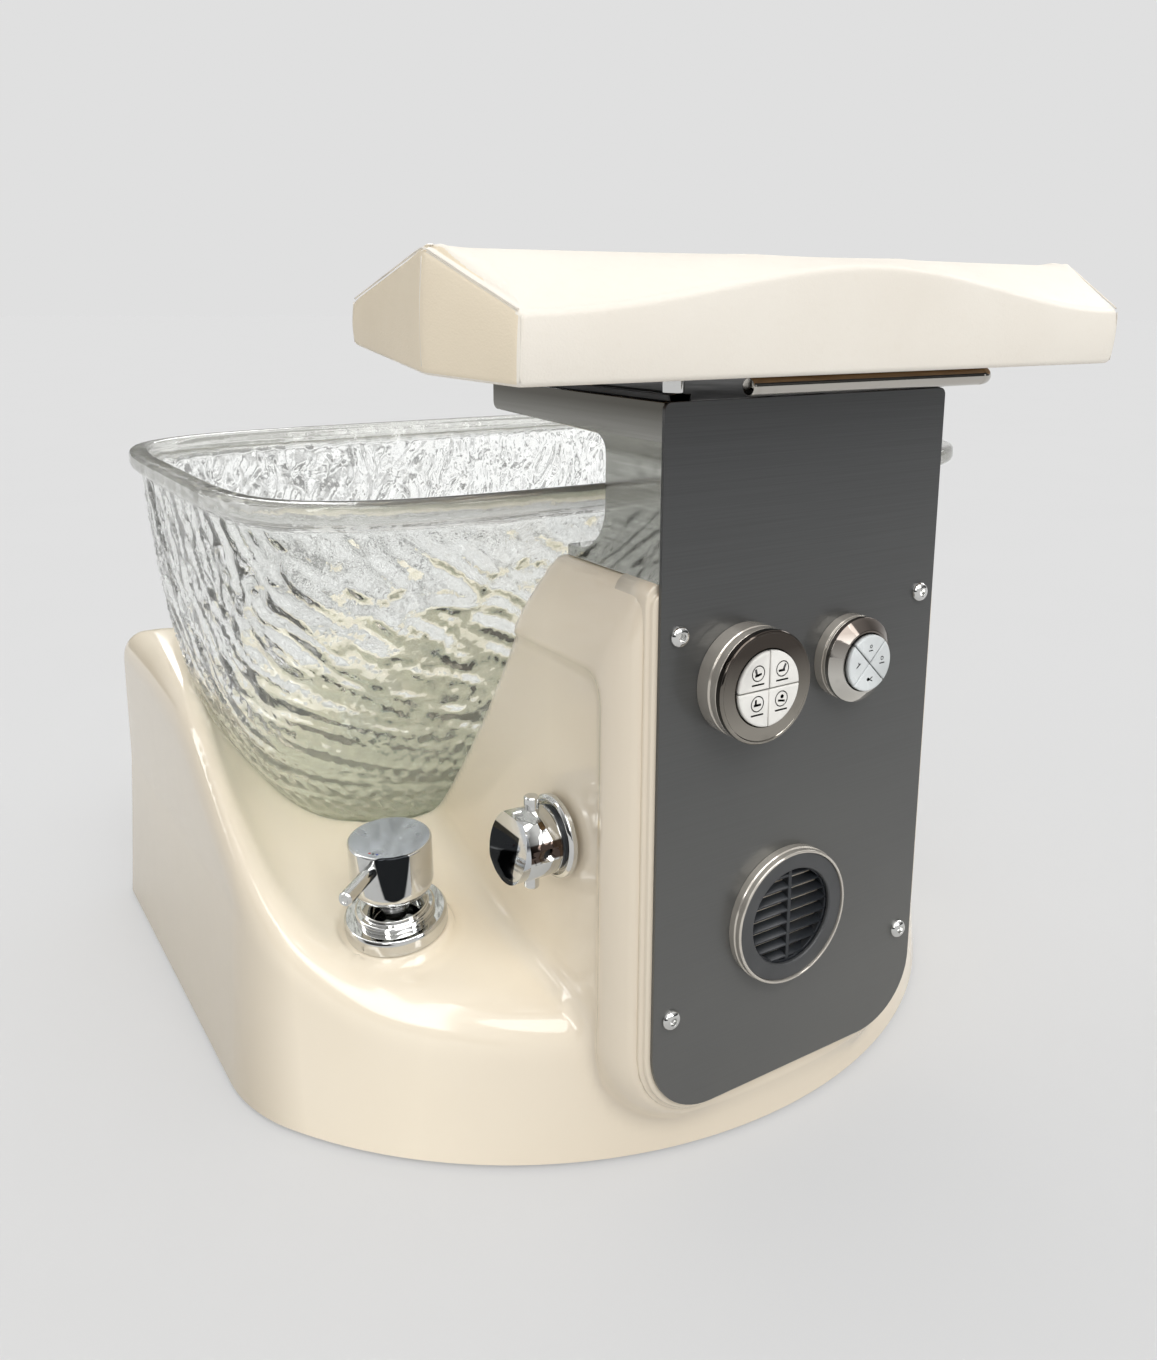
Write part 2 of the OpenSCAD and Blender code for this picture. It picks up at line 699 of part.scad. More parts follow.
drain_floor = bowl_z0 + glass_floor;
drain_wall = 3;
drain_thread = 26;
tail_grip = 12;
drain_thread_z0 = seat_z - shell_t - drain_thread;

module drain_flange() color("#c9cacb") place() at_drain() difference() {
    rotate_extrude() polygon([[drain_bore, drain_thread_z0], [drain_bore + drain_wall, drain_thread_z0],
        [drain_bore + drain_wall, drain_floor], [drain_flange_r, drain_floor],
        [drain_flange_r, drain_floor + 1], [drain_flange_r - 6, drain_floor + 3],
        [drain_bore, drain_floor + 3]]);
}

module drain_gasket() color("#333333") place() at_drain() rotate_extrude()
    polygon([[drain_bore + drain_wall + 0.2, seat_z], [drain_flange_r - 1, seat_z],
        [drain_flange_r - 1, bowl_z0], [drain_bore + drain_wall + 0.2, bowl_z0]]);

module drain_nut() color("#b5a36a") place() at_drain() difference() {
    translate([0, 0, seat_z - shell_t - 10]) cylinder(r = drain_flange_r - 2, h = 10, $fn = 6);
    translate([0, 0, seat_z - shell_t - 11]) cylinder(r = drain_bore + drain_wall + 0.2, h = 12);
}

module drain_tailpiece() color("#e8e8e4") place() at_drain() rotate_extrude()
    polygon([[drain_bore - 4, tail_z0], [tail_r, tail_z0], [tail_r, drain_thread_z0 - 2],
        [drain_bore - 0.3, drain_thread_z0 - 2], [drain_bore - 0.3, drain_thread_z0 + tail_grip],
        [drain_bore - 4, drain_thread_z0 + tail_grip]]);

module drain_plug() color("#c9cacb") place() at_drain() rotate_extrude()
    polygon([[0, drain_floor - plug_lift + 2], [4, drain_floor - plug_lift + 2], [4, drain_floor - 1],
        [drain_bore - 1, drain_floor - 1], [drain_bore - 1, drain_floor + 3 + FIT],
        [drain_bore + 5, drain_floor + 3 + FIT], [drain_bore + 5, drain_floor + 5],
        [drain_bore, drain_floor + 7], [6, drain_floor + 7], [6, drain_floor + 12],
        [4, drain_floor + 14], [0, drain_floor + 14]]);

// ---------- panel controls ----------

chair_boss_r = chair_key_r - 1;
jet_boss_r = jet_key_r - 1;
boss_in = 22;
carrier_t = 3;
nut_t = 5;

// Two stacked chrome rings on the panel, with a threaded neck through it
module housing(r, key_r, boss_r, out) turned_y([[boss_r - 4, -boss_in], [boss_r, -boss_in],
    [boss_r, 0], [r - 0.8, 0], [r, 0.8], [r, out * 0.42], [r - 1.6, out * 0.47],
    [r - 1.6, out * 0.53], [r, out * 0.58], [r, out - 5], [key_r + 3, out - 5],
    [key_r + 3, 4], [boss_r - 4, 4]]);

// Front ring that frames the keypad and falls away by slope to its edge
module front_ring(r, key_r, out, slope) turned_y([[key_r + key_gap, out - 5 - slope],
    [key_r + key_gap, out], [key_r + key_gap + 1.5, out], [r - 1.2, out - slope],
    [r, out - slope - 1.2], [r, out - slope - 5]]);

// Plate inside the housing that carries the switches behind the keys
module carrier(key_r, face) {
    plate_z = face - key_t - key_travel - 0.5 - carrier_t;
    rotate([90, 0, 0]) translate([0, 0, plate_z]) cylinder(r = key_r, h = carrier_t);
    rotate([90, 0, 0]) translate([0, 0, 4]) cylinder(r = key_r - 2, h = plate_z - 4);
}

module lock_nut(boss_r) difference() {
    rotate([-90, 0, 0]) translate([0, 0, panel_t + shell_t])
        cylinder(r = boss_r + 7, h = nut_t, $fn = 6);
    rod_y(boss_r + 0.1, -1, 40);
}

// One quarter of a round keypad, centred on angle a, with a slightly domed face
module quarter_key(key_r, face, a) {
    rotate([90, 0, 0]) rotate([0, 0, a]) intersection() {
        union() {
            translate([0, 0, face - key_t]) cylinder(r = key_r, h = key_t - 1.2);
            translate([0, 0, face - 1.2]) cylinder(r1 = key_r, r2 = key_r - 1.2, h = 1.2);
        }
        rotate([0, 0, -45]) translate([key_gap / 2, key_gap / 2, 0]) cube([60, 60, 60]);
    }
}

module at_chair() translate([chair_x, 0, chair_z]) children();
module at_jet() translate([jet_x, 0, jet_z]) children();

chair_a0 = 45;
jet_a0 = 0;

module chair_control_housing() color("#c4c5c6") place() at_chair()
    housing(chair_r, chair_key_r, chair_boss_r, chair_out);
module chair_control_ring() color("#a9aaab") place() at_chair()
    front_ring(chair_r, chair_key_r, chair_out, 0);
module chair_control_carrier() color("#303030") place() at_chair()
    carrier(chair_key_r, chair_out + chair_key_out);
module chair_control_nut() color("#c9c9c2") place() at_chair() lock_nut(chair_boss_r);
module chair_key(i) color("#f4f3ee") place() at_chair()
    quarter_key(chair_key_r, chair_out + chair_key_out, chair_a0 + 90 * i);
module chair_key_1() chair_key(0);
module chair_key_2() chair_key(1);
module chair_key_3() chair_key(2);
module chair_key_4() chair_key(3);

module jet_control_housing() color("#c4c5c6") place() at_jet()
    housing(jet_r, jet_key_r, jet_boss_r, jet_out - jet_slope);
module jet_control_ring() color("#b9babb") place() at_jet()
    front_ring(jet_r, jet_key_r, jet_out, jet_slope);
module jet_control_carrier() color("#303030") place() at_jet()
    carrier(jet_key_r, jet_out + jet_key_out);
module jet_control_nut() color("#c9c9c2") place() at_jet() lock_nut(jet_boss_r);
module jet_key(i) color("#e2e4e4") place() at_jet()
    quarter_key(jet_key_r, jet_out + jet_key_out, jet_a0 + 90 * i);
module jet_key_1() jet_key(0);
module jet_key_2() jet_key(1);
module jet_key_3() jet_key(2);
module jet_key_4() jet_key(3);

// ---------- vent ----------

vent_duct_r = vent_hole_r + 4;
fan_y0 = panel_t + shell_t;
fan_d = 30;

module at_vent() translate([vent_x, 0, vent_z]) children();

module vent_ring() color("#c4c5c6") place() at_vent() turned_y([[vent_duct_r + 1, 0],
    [vent_r, 0], [vent_r, vent_out * 0.5], [vent_r - 1, vent_out * 0.6],
    [vent_r - 1, vent_out - 1], [vent_r - 2.2, vent_out], [vent_dark_r, vent_out],
    [vent_dark_r, 3], [vent_duct_r + 1, 3]]);

module vent_bezel() color("#57595a") place() at_vent() turned_y([[vent_duct_r - 1, -fan_y0],
    [vent_duct_r, -fan_y0], [vent_duct_r, 3 + EPS], [vent_dark_r - 0.1, 3 + EPS],
    [vent_dark_r - 0.1, vent_out - 1.5], [vent_hole_r, vent_out - 1.5],
    [vent_hole_r, vent_out - 4], [vent_duct_r - 1, vent_out - 5]]);

module vent_grille() color("#1d1e1f") place() at_vent() intersection() {
    union() {
        ring_y(vent_duct_r - 1, vent_hole_r - 1, -vent_out + 5, 2);
        for (i = [0:slat_count - 1]) let (pitch = 2 * vent_hole_r / slat_count)
            translate([0, -vent_out + 8, -vent_hole_r + pitch * (i + 0.5)])
                rotate([25, 0, 0]) cube([2 * vent_duct_r, 7, slat_t], center = true);
        translate([0, -vent_out + 8, 0]) cube([3, 7, 2 * vent_duct_r], center = true);
    }
    rod_y(vent_duct_r - 1, -vent_out + 5, 2);
}

module vent_fan_housing() color("#232425") place() at_vent() difference() {
    translate([0, fan_y0 + fan_d / 2, 0])
        cube([2 * vent_duct_r + 8, fan_d, 2 * vent_duct_r + 8], center = true);
    rod_y(vent_duct_r - 1.5, fan_y0 - 1, fan_y0 + fan_d - 4);
    for (a = [0:3]) rotate([0, a * 90 + 45, 0]) translate([vent_duct_r / 2 + 6, 0, 0])
        rod_y(vent_duct_r / 2 - 12, fan_y0, fan_y0 + fan_d + 1);
    rod_y(3.05, fan_y0, fan_y0 + fan_d + 1);
}

module vent_fan_rotor() color("#2c2d2e") place() at_vent() {
    rod_y(13, fan_y0 + 4, fan_y0 + fan_d - 6);
    rod_y(3, fan_y0 + fan_d - 7, fan_y0 + fan_d - 0.5);
    for (i = [0:blade_count - 1]) rotate([0, i * 360 / blade_count, 0])
        translate([vent_duct_r / 2 + 4, fan_y0 + 14, 0]) rotate([35, 0, 0])
            cube([vent_duct_r - 14, 16, 1.6], center = true);
}

// ---------- mixer tap ----------

mixer_shank_r = 17;
stem_r = 11;
plate_h = 12;
hinge_r = 2.5;
pin_z = mixer_h - 11;

// Frame on the handle's hinge, leaning back by the rest lift
module at_handle() at_mixer() translate([0, 0, hinge_h]) rotate([0, -rest_lift, 0]) children();

module mixer_plate() color("#d3d4d5") place() at_mixer() rotate_extrude()
    polygon([[22, 0], [mixer_plate_r, 0], [mixer_plate_r, plate_h - 2],
        [mixer_plate_r - 1, plate_h], [22, plate_h]]);

module mixer_body() color("#d3d4d5") place() at_mixer() rotate_extrude()
    polygon([[stem_r + 0.05, 1], [21.8, 1], [21.8, plate_h], [29, plate_h], [29, plate_h + 4],
        [28, plate_h + 5], [24.5, plate_h + 5], [24.5, plate_h + 8], [stem_r + 0.05, plate_h + 8]]);

module mixer_stem() color("#b8b9ba") place() at_mixer() difference() {
    union() {
        translate([0, 0, 1 + FIT]) cylinder(r = stem_r, h = hinge_h - 5 - FIT);
        translate([0, 0, hinge_h - 5]) cylinder(r = stem_r - 3, h = 10);
    }
    translate([0, 0, hinge_h]) rotate([90, 0, 0]) cylinder(r = hinge_r + 0.05, h = 40, center = true);
}

// Handle cap with its hinge pin, hollow below so that it can rock on the stem
module mixer_handle() color("#d3d4d5") place() at_handle() {
    difference() {
        rotate_extrude() polygon([[0, 13], [19, 13], [19, 0], [mixer_r - 3, 0],
            [mixer_r, 3.5], [mixer_r, mixer_h - 1.5], [mixer_r - 1.5, mixer_h], [0, mixer_h]]);
        translate([mixer_r - 14, 0, pin_z]) rotate([0, 90, 0])
            cylinder(r = pin_d / 2 - 1.5 + 0.05, h = 30);
    }
    rotate([90, 0, 0]) cylinder(r = hinge_r, h = 40, center = true);
    for (side = [-1, 1]) translate([-5, side * 16 - 3, -2]) cube([10, 6, 16]);
}

module mixer_pin_lever() color("#d3d4d5") place() at_handle()
    translate([mixer_r - 13, 0, pin_z]) rotate([0, 90, 0]) {
        cylinder(r = pin_d / 2 - 1.5, h = 14);
        translate([0, 0, 13.4]) rotate_extrude() polygon([[0, 0], [pin_d / 2 - 0.8, 0],
            [pin_d / 2, 0.8], [pin_d / 2, pin_len - 1], [pin_d / 2 - 1, pin_len], [0, pin_len]]);
    }

module mixer_shank() color("#b5a36a") place() at_mixer() difference() {
    translate([0, 0, -shank_len]) cylinder(r = mixer_shank_r, h = shank_len + 1);
    translate([0, 0, -shank_len - 1]) cylinder(r = pipe_r, h = 30);
}

shank_len = 58;
pipe_r = 5;
elbow_r = 6.5;
pipe_drop = shank_len + 12;
riser_in = 28;

module mixer_nut() color("#b5a36a") place() at_mixer() difference() {
    translate([0, 0, -seat_deep - shell_t - 8]) cylinder(r = mixer_shank_r + 9, h = 8, $fn = 6);
    translate([0, 0, -shank_len]) cylinder(r = mixer_shank_r + 0.1, h = shank_len);
}

// ---------- diverter ----------

diverter_shank_r = 13;
pin_plane = 19;
spindle_r = 6;
wall_plate_t = 5.5;
shadow_gap = 2;
collar_h = 3.5;
knob_play = 0.5;
collar_z0 = wall_plate_t + shadow_gap;
knob_end = diverter_out - 7;

// Frame on the tower's left side with +Z pointing away from the wall
module at_diverter_out() translate([-flank_x, diverter_y, diverter_z])
    rotate([0, -90, 0]) children();

module diverter_plate() color("#d3d4d5") place() at_diverter_out() rotate_extrude()
    polygon([[diverter_shank_r + 0.2, 0], [diverter_r, 0], [diverter_r, wall_plate_t - 1.5],
        [diverter_r - 1.5, wall_plate_t], [diverter_shank_r + 0.2, wall_plate_t]]);

module diverter_body() color("#1f1f20") place() at_diverter_out() rotate_extrude()
    polygon([[0, wall_plate_t], [knob_r - 2, wall_plate_t], [knob_r - 2, collar_z0],
        [spindle_r + 4, collar_z0], [spindle_r + 4, collar_z0 + collar_h],
        [spindle_r, collar_z0 + collar_h], [spindle_r, knob_end - 6], [0, knob_end - 6]]);

// Knob with four grip pins round its barrel
module diverter_knob() color("#d3d4d5") place() at_diverter_out() {
    difference() {
        translate([0, 0, collar_z0 + knob_play]) rotate_extrude() polygon([
            [spindle_r + 0.05, collar_h], [spindle_r + 4.5, collar_h], [spindle_r + 4.5, 0],
            [knob_r - 0.8, 0], [knob_r, 0.8], [knob_r, knob_end - collar_z0 - knob_play],
            [spindle_r + 0.05, knob_end - collar_z0 - knob_play]]);
        for (a = [0:3]) rotate([0, 0, 90 * a]) translate([knob_r - 6, 0, pin_plane])
            rotate([0, 90, 0]) cylinder(r = 4.5, h = 12);
    }
    for (a = [0:3]) rotate([0, 0, 90 * a]) translate([knob_r - 6, 0, pin_plane])
        rotate([0, 90, 0]) rotate_extrude() polygon([[0, 0], [4.5, 0], [4.5, 7.5], [5.6, 8.5],
            [5.6, knob_pin_reach - knob_r + 5.3], [4.9, knob_pin_reach - knob_r + 6],
            [0, knob_pin_reach - knob_r + 6]]);
}

// Front cap cut off at a slant
module diverter_cap() color("#c4c5c6") place() at_diverter_out() intersection() {
    translate([0, 0, knob_end]) cylinder(r = knob_r, h = diverter_out - knob_end);
    translate([0, 0, knob_end]) rotate([0, 12, 0]) translate([-60, -60, -60])
        cube([120, 120, 60 + (diverter_out - knob_end) * 0.6]);
}

module diverter_shank() color("#b5a36a") place() at_diverter_out() difference() {
    translate([0, 0, -40]) cylinder(r = diverter_shank_r, h = 45);
    translate([-diverter_shank_r - 1, 0, -riser_in]) rotate([0, 90, 0])
        cylinder(r = pipe_r, h = 10);
}

module diverter_nut() color("#b5a36a") place() at_diverter_out() difference() {
    translate([0, 0, -shell_t - 8]) cylinder(r = diverter_shank_r + 8, h = 8, $fn = 6);
    translate([0, 0, -50]) cylinder(r = diverter_shank_r + 0.1, h = 60);
}

// Pipe that leads from the tap's shank under the platform to the diverter's shank
module water_pipe() color("#b06a3b") place() {
    low_z = mixer_z - shank_len - 22;
    x0 = -mixer_x - pipe_drop * sin(seat_tilt) * cos(pin_turn);
    y0 = mixer_y - pipe_drop * sin(seat_tilt) * sin(pin_turn);
    x1 = -flank_x + riser_in;
    at_mixer() pipe_leg(0, 0, -pipe_drop, 10 - shank_len);
    pipe_leg(x0, y0, low_z, mixer_z - pipe_drop * cos(seat_tilt));
    translate([0, y0, low_z]) rod_x(pipe_r, x0, x1);
    translate([x1, y0, low_z]) sphere(r = elbow_r);
    translate([x1, 0, low_z]) rod_y(pipe_r, diverter_y, y0);
    pipe_leg(x1, diverter_y, low_z, diverter_z - diverter_shank_r + 9);
}

module pipe_leg(x, y, z0, z1) translate([x, y, z0]) {
    sphere(r = elbow_r);
    cylinder(r = pipe_r, h = z1 - z0);
}

// ---------- footrest ----------

// Frame on the underside of the pad at its front edge
module pad_frame() translate([0, -pad_front, pad_z0]) rotate([pad_tilt, 0, 0]) children();

// Space below the pad board's underside
module under_plate() pad_frame() translate([-400, -100, -200 - plate_t]) cube([800, 500, 200]);

slot_w = 8;
foot_slot_h = 2.2;
slot_len = rail_len - rail_stop + 1;

module slide_rails() color("#c4c5c6") place() for (side = [-1, 1])
    translate([side * rail_x, rail_y0, column_top]) difference() {
        translate([-rail_w / 2, 0, 0]) cube([rail_w, rail_len, rail_h]);
        translate([-foot_slot_w / 2, -1, 0.5]) cube([foot_slot_w, slot_len, foot_slot_h]);
        translate([-slot_w / 2, -1, 0.5]) cube([slot_w, slot_len, rail_h]);
    }

module slide_posts() color("#c9cacb") place() for (side = [-1, 1], y = [post_y0, post_y1])
    intersection() {
        translate([side * rail_x, y, column_top]) {
            translate([0, 0, 0.5 + slide_gap])
                cylinder(r = foot_slot_w / 2 - slide_gap, h = foot_slot_h - 2 * slide_gap);
            cylinder_from(slot_w / 2 - slide_gap, 0.5 + slide_gap, rail_h + 1);
            cylinder_from(post_r, rail_h + slide_gap, 40);
        }
        under_plate();
    }

module cylinder_from(r, z0, z1) translate([0, 0, z0]) cylinder(r = r, h = z1 - z0);

plate_v0 = pad_front + 2;
plate_v1 = plate_v0 + post_y1 + 10;

// Plate under the pad board, notched at its front edge where it passes the lever's lugs
module carrier_plate() color("#26272a") place() pad_frame() difference() {
    translate([-plate_w / 2, plate_v0, -plate_t]) cube([plate_w, plate_v1 - plate_v0, plate_t]);
    translate([lug_x[0] - lug_w / 2 - lug_gap, plate_v0 - 1, -plate_t - 1])
        cube([lug_x[1] - lug_x[0] + lug_w + 2 * lug_gap, notch_d + 1, plate_t + 2]);
}

// Plan of the pad: straight front and rear edges with pointed ends, drawn in by g
function pad_end(g) = [[pad_edge / 2 - g, g], [pad_len / 2 - g, ridge_v], [pad_edge / 2 - g, pad_d - g]];

module pad_board() color("#8a6a45") place() pad_frame() linear_extrude(board_t)
    polygon(concat(pad_end(wrap_w), mirrored(pad_end(wrap_w))));

// Height of the front or rear edge at distance x: low at the corners, high in the middle
function edge_h(x, low, high) = low + (high - low) * pow(cos(90 * x / (pad_edge / 2)), 2);

// Points round the pad, each with its place and its edge height
pad_nx = 14;
pad_ne = 4;
function pad_rim() = concat(
    [for (i = [0:pad_nx - 1]) let (x = mix(-1, 1, i / pad_nx) * pad_edge / 2)
        [x, 0, edge_h(x, corner_hf, crest_hf)]],
    [for (i = [0:pad_ne - 1]) let (t = i / pad_ne)
        [mix(pad_edge, pad_len, t) / 2, ridge_v * t, mix(corner_hf, ridge_h, t)]],
    [for (i = [0:pad_ne - 1]) let (t = i / pad_ne)
        [mix(pad_len, pad_edge, t) / 2, mix(ridge_v, pad_d, t), mix(ridge_h, corner_hr, t)]],
    [for (i = [0:pad_nx - 1]) let (x = mix(1, -1, i / pad_nx) * pad_edge / 2)
        [x, pad_d, edge_h(x, corner_hr, crest_hr)]],
    [for (i = [0:pad_ne - 1]) let (t = i / pad_ne)
        [-mix(pad_edge, pad_len, t) / 2, mix(pad_d, ridge_v, t), mix(corner_hr, ridge_h, t)]],
    [for (i = [0:pad_ne - 1]) let (t = i / pad_ne)
        [-mix(pad_len, pad_edge, t) / 2, mix(ridge_v, 0, t), mix(ridge_h, corner_hf, t)]]);

// A ring of the pad drawn in by g, at share s of the edge height plus h
function pad_ring(g, s, h) = [for (p = pad_rim())
    [p[0] * (1 - 2 * g / pad_len), mix(p[1], pad_d / 2, 2 * g / pad_d), s * p[2] + h]];

// A ring of the pad's top, share f of the way from the edge to the ridge
pad_crown = 3;
function pad_top(f) = [for (p = pad_rim())
    [p[0] * (1 - 0.03 * f), mix(mix(p[1], pad_d / 2, 6 / pad_d), ridge_v, 0.97 * f),
        mix(p[2], ridge_h, pow(f, 0.85)) + pad_crown * sin(180 * f) * (p[2] < ridge_h - 1 ? 1 : 0)]];

module footrest_pad() color("#f3ecdf") place() pad_frame() difference() {
    lidded_solid(concat([pad_ring(4, 0, 0), pad_ring(0, 0, 5), pad_ring(-1, 0.6, 3),
        pad_ring(0, 1, -3)], [for (f = [0, 0.2, 0.4, 0.6, 0.8, 1]) pad_top(f)]),
        [0, pad_d / 2, 0], [0, ridge_v, ridge_h]);
    translate([0, 0, -1]) linear_extrude(board_t + 1)
        polygon(concat(pad_end(wrap_w - FIT), mirrored(pad_end(wrap_w - FIT))));
}

// ---------- release lever ----------

module at_shaft() translate([0, shaft_y, grip_z]) children();

arm_len = shaft_y + grip_out;
journal_r = shaft_d / 2;
lug_x = [40, 84];
lug_w = 8;
lug_d = 18;
lug_gap = 3;
lug_cover = 2;
shaft_x0 = 32;
cam_r = 5.5;
cam_drop = 1.6;

// Grip, one arm and a cross shaft, bent from a bar
module release_lever() color("#c9cacb") place() at_shaft() {
    translate([0, -arm_len, 0]) rod_x(grip_d / 2, grip_x0, grip_x1 - bend_r);
    translate([grip_x1, -arm_len + bend_r, 0]) rod_y(grip_d / 2, 0, arm_len - bend_r - 9);
    translate([grip_x1 - bend_r, -arm_len + bend_r, 0]) rotate([0, 0, -90])
        rotate_extrude(angle = 90) translate([bend_r, 0]) circle(r = grip_d / 2);
    translate([grip_x1, -9, 0]) sphere(r = grip_d / 2);
    translate([grip_x1, -9, 0]) rod_y(journal_r, 0, 9);
    translate([grip_x1, 0, 0]) sphere(r = journal_r);
    rod_x(journal_r, shaft_x0, grip_x1);
}

module lever_cam() color("#8d8f91") place() at_shaft() difference() {
    translate([0, 0, -cam_drop]) rod_x(cam_r, 58, 70);
    rod_x(journal_r, 57, 71);
}

// Bearing lugs for the cross shaft on top of the column
module lever_lugs() color("#26272a") place() difference() {
    for (x = lug_x) translate([x - lug_w / 2, shaft_y - lug_d / 2, column_top])
        cube([lug_w, lug_d, shaft_lift + journal_r + lug_cover]);
    at_shaft() rod_x(journal_r + 0.06, lug_x[0] - 20, lug_x[1] + 20);
}

base_shell();
base_frame();
levelling_feet();
bowl_bearers();
column_frame();
column_box();
front_panel();
panel_screws();
bowl_seal();
glass_bowl();
drain_flange();
drain_gasket();
drain_nut();
drain_tailpiece();
drain_plug();
chair_control_housing();
chair_control_ring();
chair_control_carrier();
chair_control_nut();
chair_key_1();
chair_key_2();
chair_key_3();
chair_key_4();
jet_control_housing();
jet_control_ring();
jet_control_carrier();
jet_control_nut();
jet_key_1();
jet_key_2();
jet_key_3();
jet_key_4();
vent_ring();
vent_bezel();
vent_grille();
vent_fan_housing();
vent_fan_rotor();
mixer_plate();
mixer_body();
mixer_stem();
mixer_handle();
mixer_pin_lever();
mixer_shank();
mixer_nut();
diverter_plate();
diverter_body();
diverter_knob();
diverter_cap();
diverter_shank();
diverter_nut();
water_pipe();
slide_rails();
carrier_plate();
slide_posts();
pad_board();
footrest_pad();
release_lever();
lever_lugs();
lever_cam();
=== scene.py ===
"""Front unit of a pedicure spa chair: moulded base, clear hammered bowl, control column and footrest."""
import json
import math
import random
from contextlib import contextmanager
from itertools import groupby

import bmesh
import bpy
import numpy as np
from mathutils import Matrix, Vector, noise


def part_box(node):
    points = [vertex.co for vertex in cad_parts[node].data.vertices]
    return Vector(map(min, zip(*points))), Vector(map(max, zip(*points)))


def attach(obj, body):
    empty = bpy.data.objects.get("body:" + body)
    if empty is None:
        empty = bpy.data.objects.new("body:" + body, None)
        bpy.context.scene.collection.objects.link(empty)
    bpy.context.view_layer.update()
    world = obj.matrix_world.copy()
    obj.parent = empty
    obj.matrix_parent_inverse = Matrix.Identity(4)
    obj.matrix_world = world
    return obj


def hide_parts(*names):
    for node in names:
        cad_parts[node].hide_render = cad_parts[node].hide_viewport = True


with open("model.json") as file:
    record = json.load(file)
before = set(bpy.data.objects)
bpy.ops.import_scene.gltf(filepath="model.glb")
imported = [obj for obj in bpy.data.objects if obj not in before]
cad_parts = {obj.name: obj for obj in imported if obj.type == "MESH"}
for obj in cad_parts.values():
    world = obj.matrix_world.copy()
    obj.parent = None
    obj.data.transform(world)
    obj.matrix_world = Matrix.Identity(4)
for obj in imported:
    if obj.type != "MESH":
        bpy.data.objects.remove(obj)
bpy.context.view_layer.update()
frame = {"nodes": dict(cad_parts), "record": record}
nodes = frame["nodes"]

# ---------- sizes, in metres ----------

MM = 0.001
FACE_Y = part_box("front_panel")[0].y           # front face of the panel
FLOOR_Z = 0.0
FOOT_GAP = 0.0035                              # the moulding's lower edge stands this far off the floor

BASE_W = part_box("base_shell")[1].x * 2
BASE_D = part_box("base_shell")[1].y - FACE_Y
REAR_H = 0.268                                 # height of the crest round the bowl
FRONT_H = 0.116                                # height of the crest at the front
CLIMB = (0.050, 0.400)                         # depths between which the crest climbs
FRONT_R = 0.366                                # radius of the bowed front
SIDE_R = 0.135                                 # radius where the front meets a side
REAR_R = 0.028                                 # radius of the rear corners
BOW_IN = 0.004                                 # the bow's start behind the panel's face
SKIN = 0.006                                   # thickness of the moulding

VALLEY_X = 0.235                               # distance at which a valley's outer side starts
VALLEY_R = 0.100                               # radius of that side
VALLEY_H = 0.112                               # height of the valley's level front stretch
VALLEY_Y = 0.110                               # depth at which it starts to rise
VALLEY_SLOPE = math.radians(15)
VALLEY_TURN = math.radians(8)

TOWER_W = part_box("front_panel")[1].x * 2 + 0.046
TOWER_H = 0.410
TOWER_R = 0.030
TOWER_FRONT = 0.003                            # the tower's front stands this far behind the face
TOWER_FOOT = (0.070, 0.0925)                   # middle of the tower's round lower corner
SHOULDER_H = 0.368                             # above this height the flank leans in
SHOULDER_IN = 0.020                            # as far as this, at the top
RECESS_DEEP = 0.0045                           # shallow field in the tower's flank
RECESS_Y = 0.031                               # where the field starts behind the face
RECESS_TOP = 0.352
RECESS_R = 0.020                               # rounding of the field's corner
RECESS_EDGE = 0.006                            # width of the field's sloping edge

BOWL_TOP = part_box("glass_bowl")[1].z
BOWL_FOOT = 0.120
BOWL_DEEP = BOWL_TOP - BOWL_FOOT
RIM_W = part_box("glass_bowl")[1].x * 2
RIM_Y = (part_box("glass_bowl")[0].y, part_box("glass_bowl")[1].y)
RIM_LIP = 0.007
GLASS_T = 0.009
GLASS_FLOOR = 0.014
BOWL_GAP = 0.0015
DRAIN = Vector((0, 0.390 + FACE_Y, 0))
DRAIN_R = 0.024
TOP_Z = 521.0                                  # top of the column and the panel, in millimetres
COLUMN_TOP = TOP_Z * MM
SHAFT_Y = 99                                   # depth of the lever's cross shaft, in millimetres


# ---------- finishes ----------

class Field:
    """A shader value that takes part in ordinary arithmetic."""

    def __init__(self, shader, node, out=0):
        self.shader, self.node = shader, node
        self.socket = node.outputs[out] if node.outputs else None

    def out(self, name):
        return Field(self.shader, self.node, name)

    def __add__(self, other):
        return self.shader.maths("ADD", self, other)

    def __sub__(self, other):
        return self.shader.maths("SUBTRACT", self, other)

    def __mul__(self, other):
        return self.shader.maths("MULTIPLY", self, other)

    __radd__, __rmul__ = __add__, __mul__


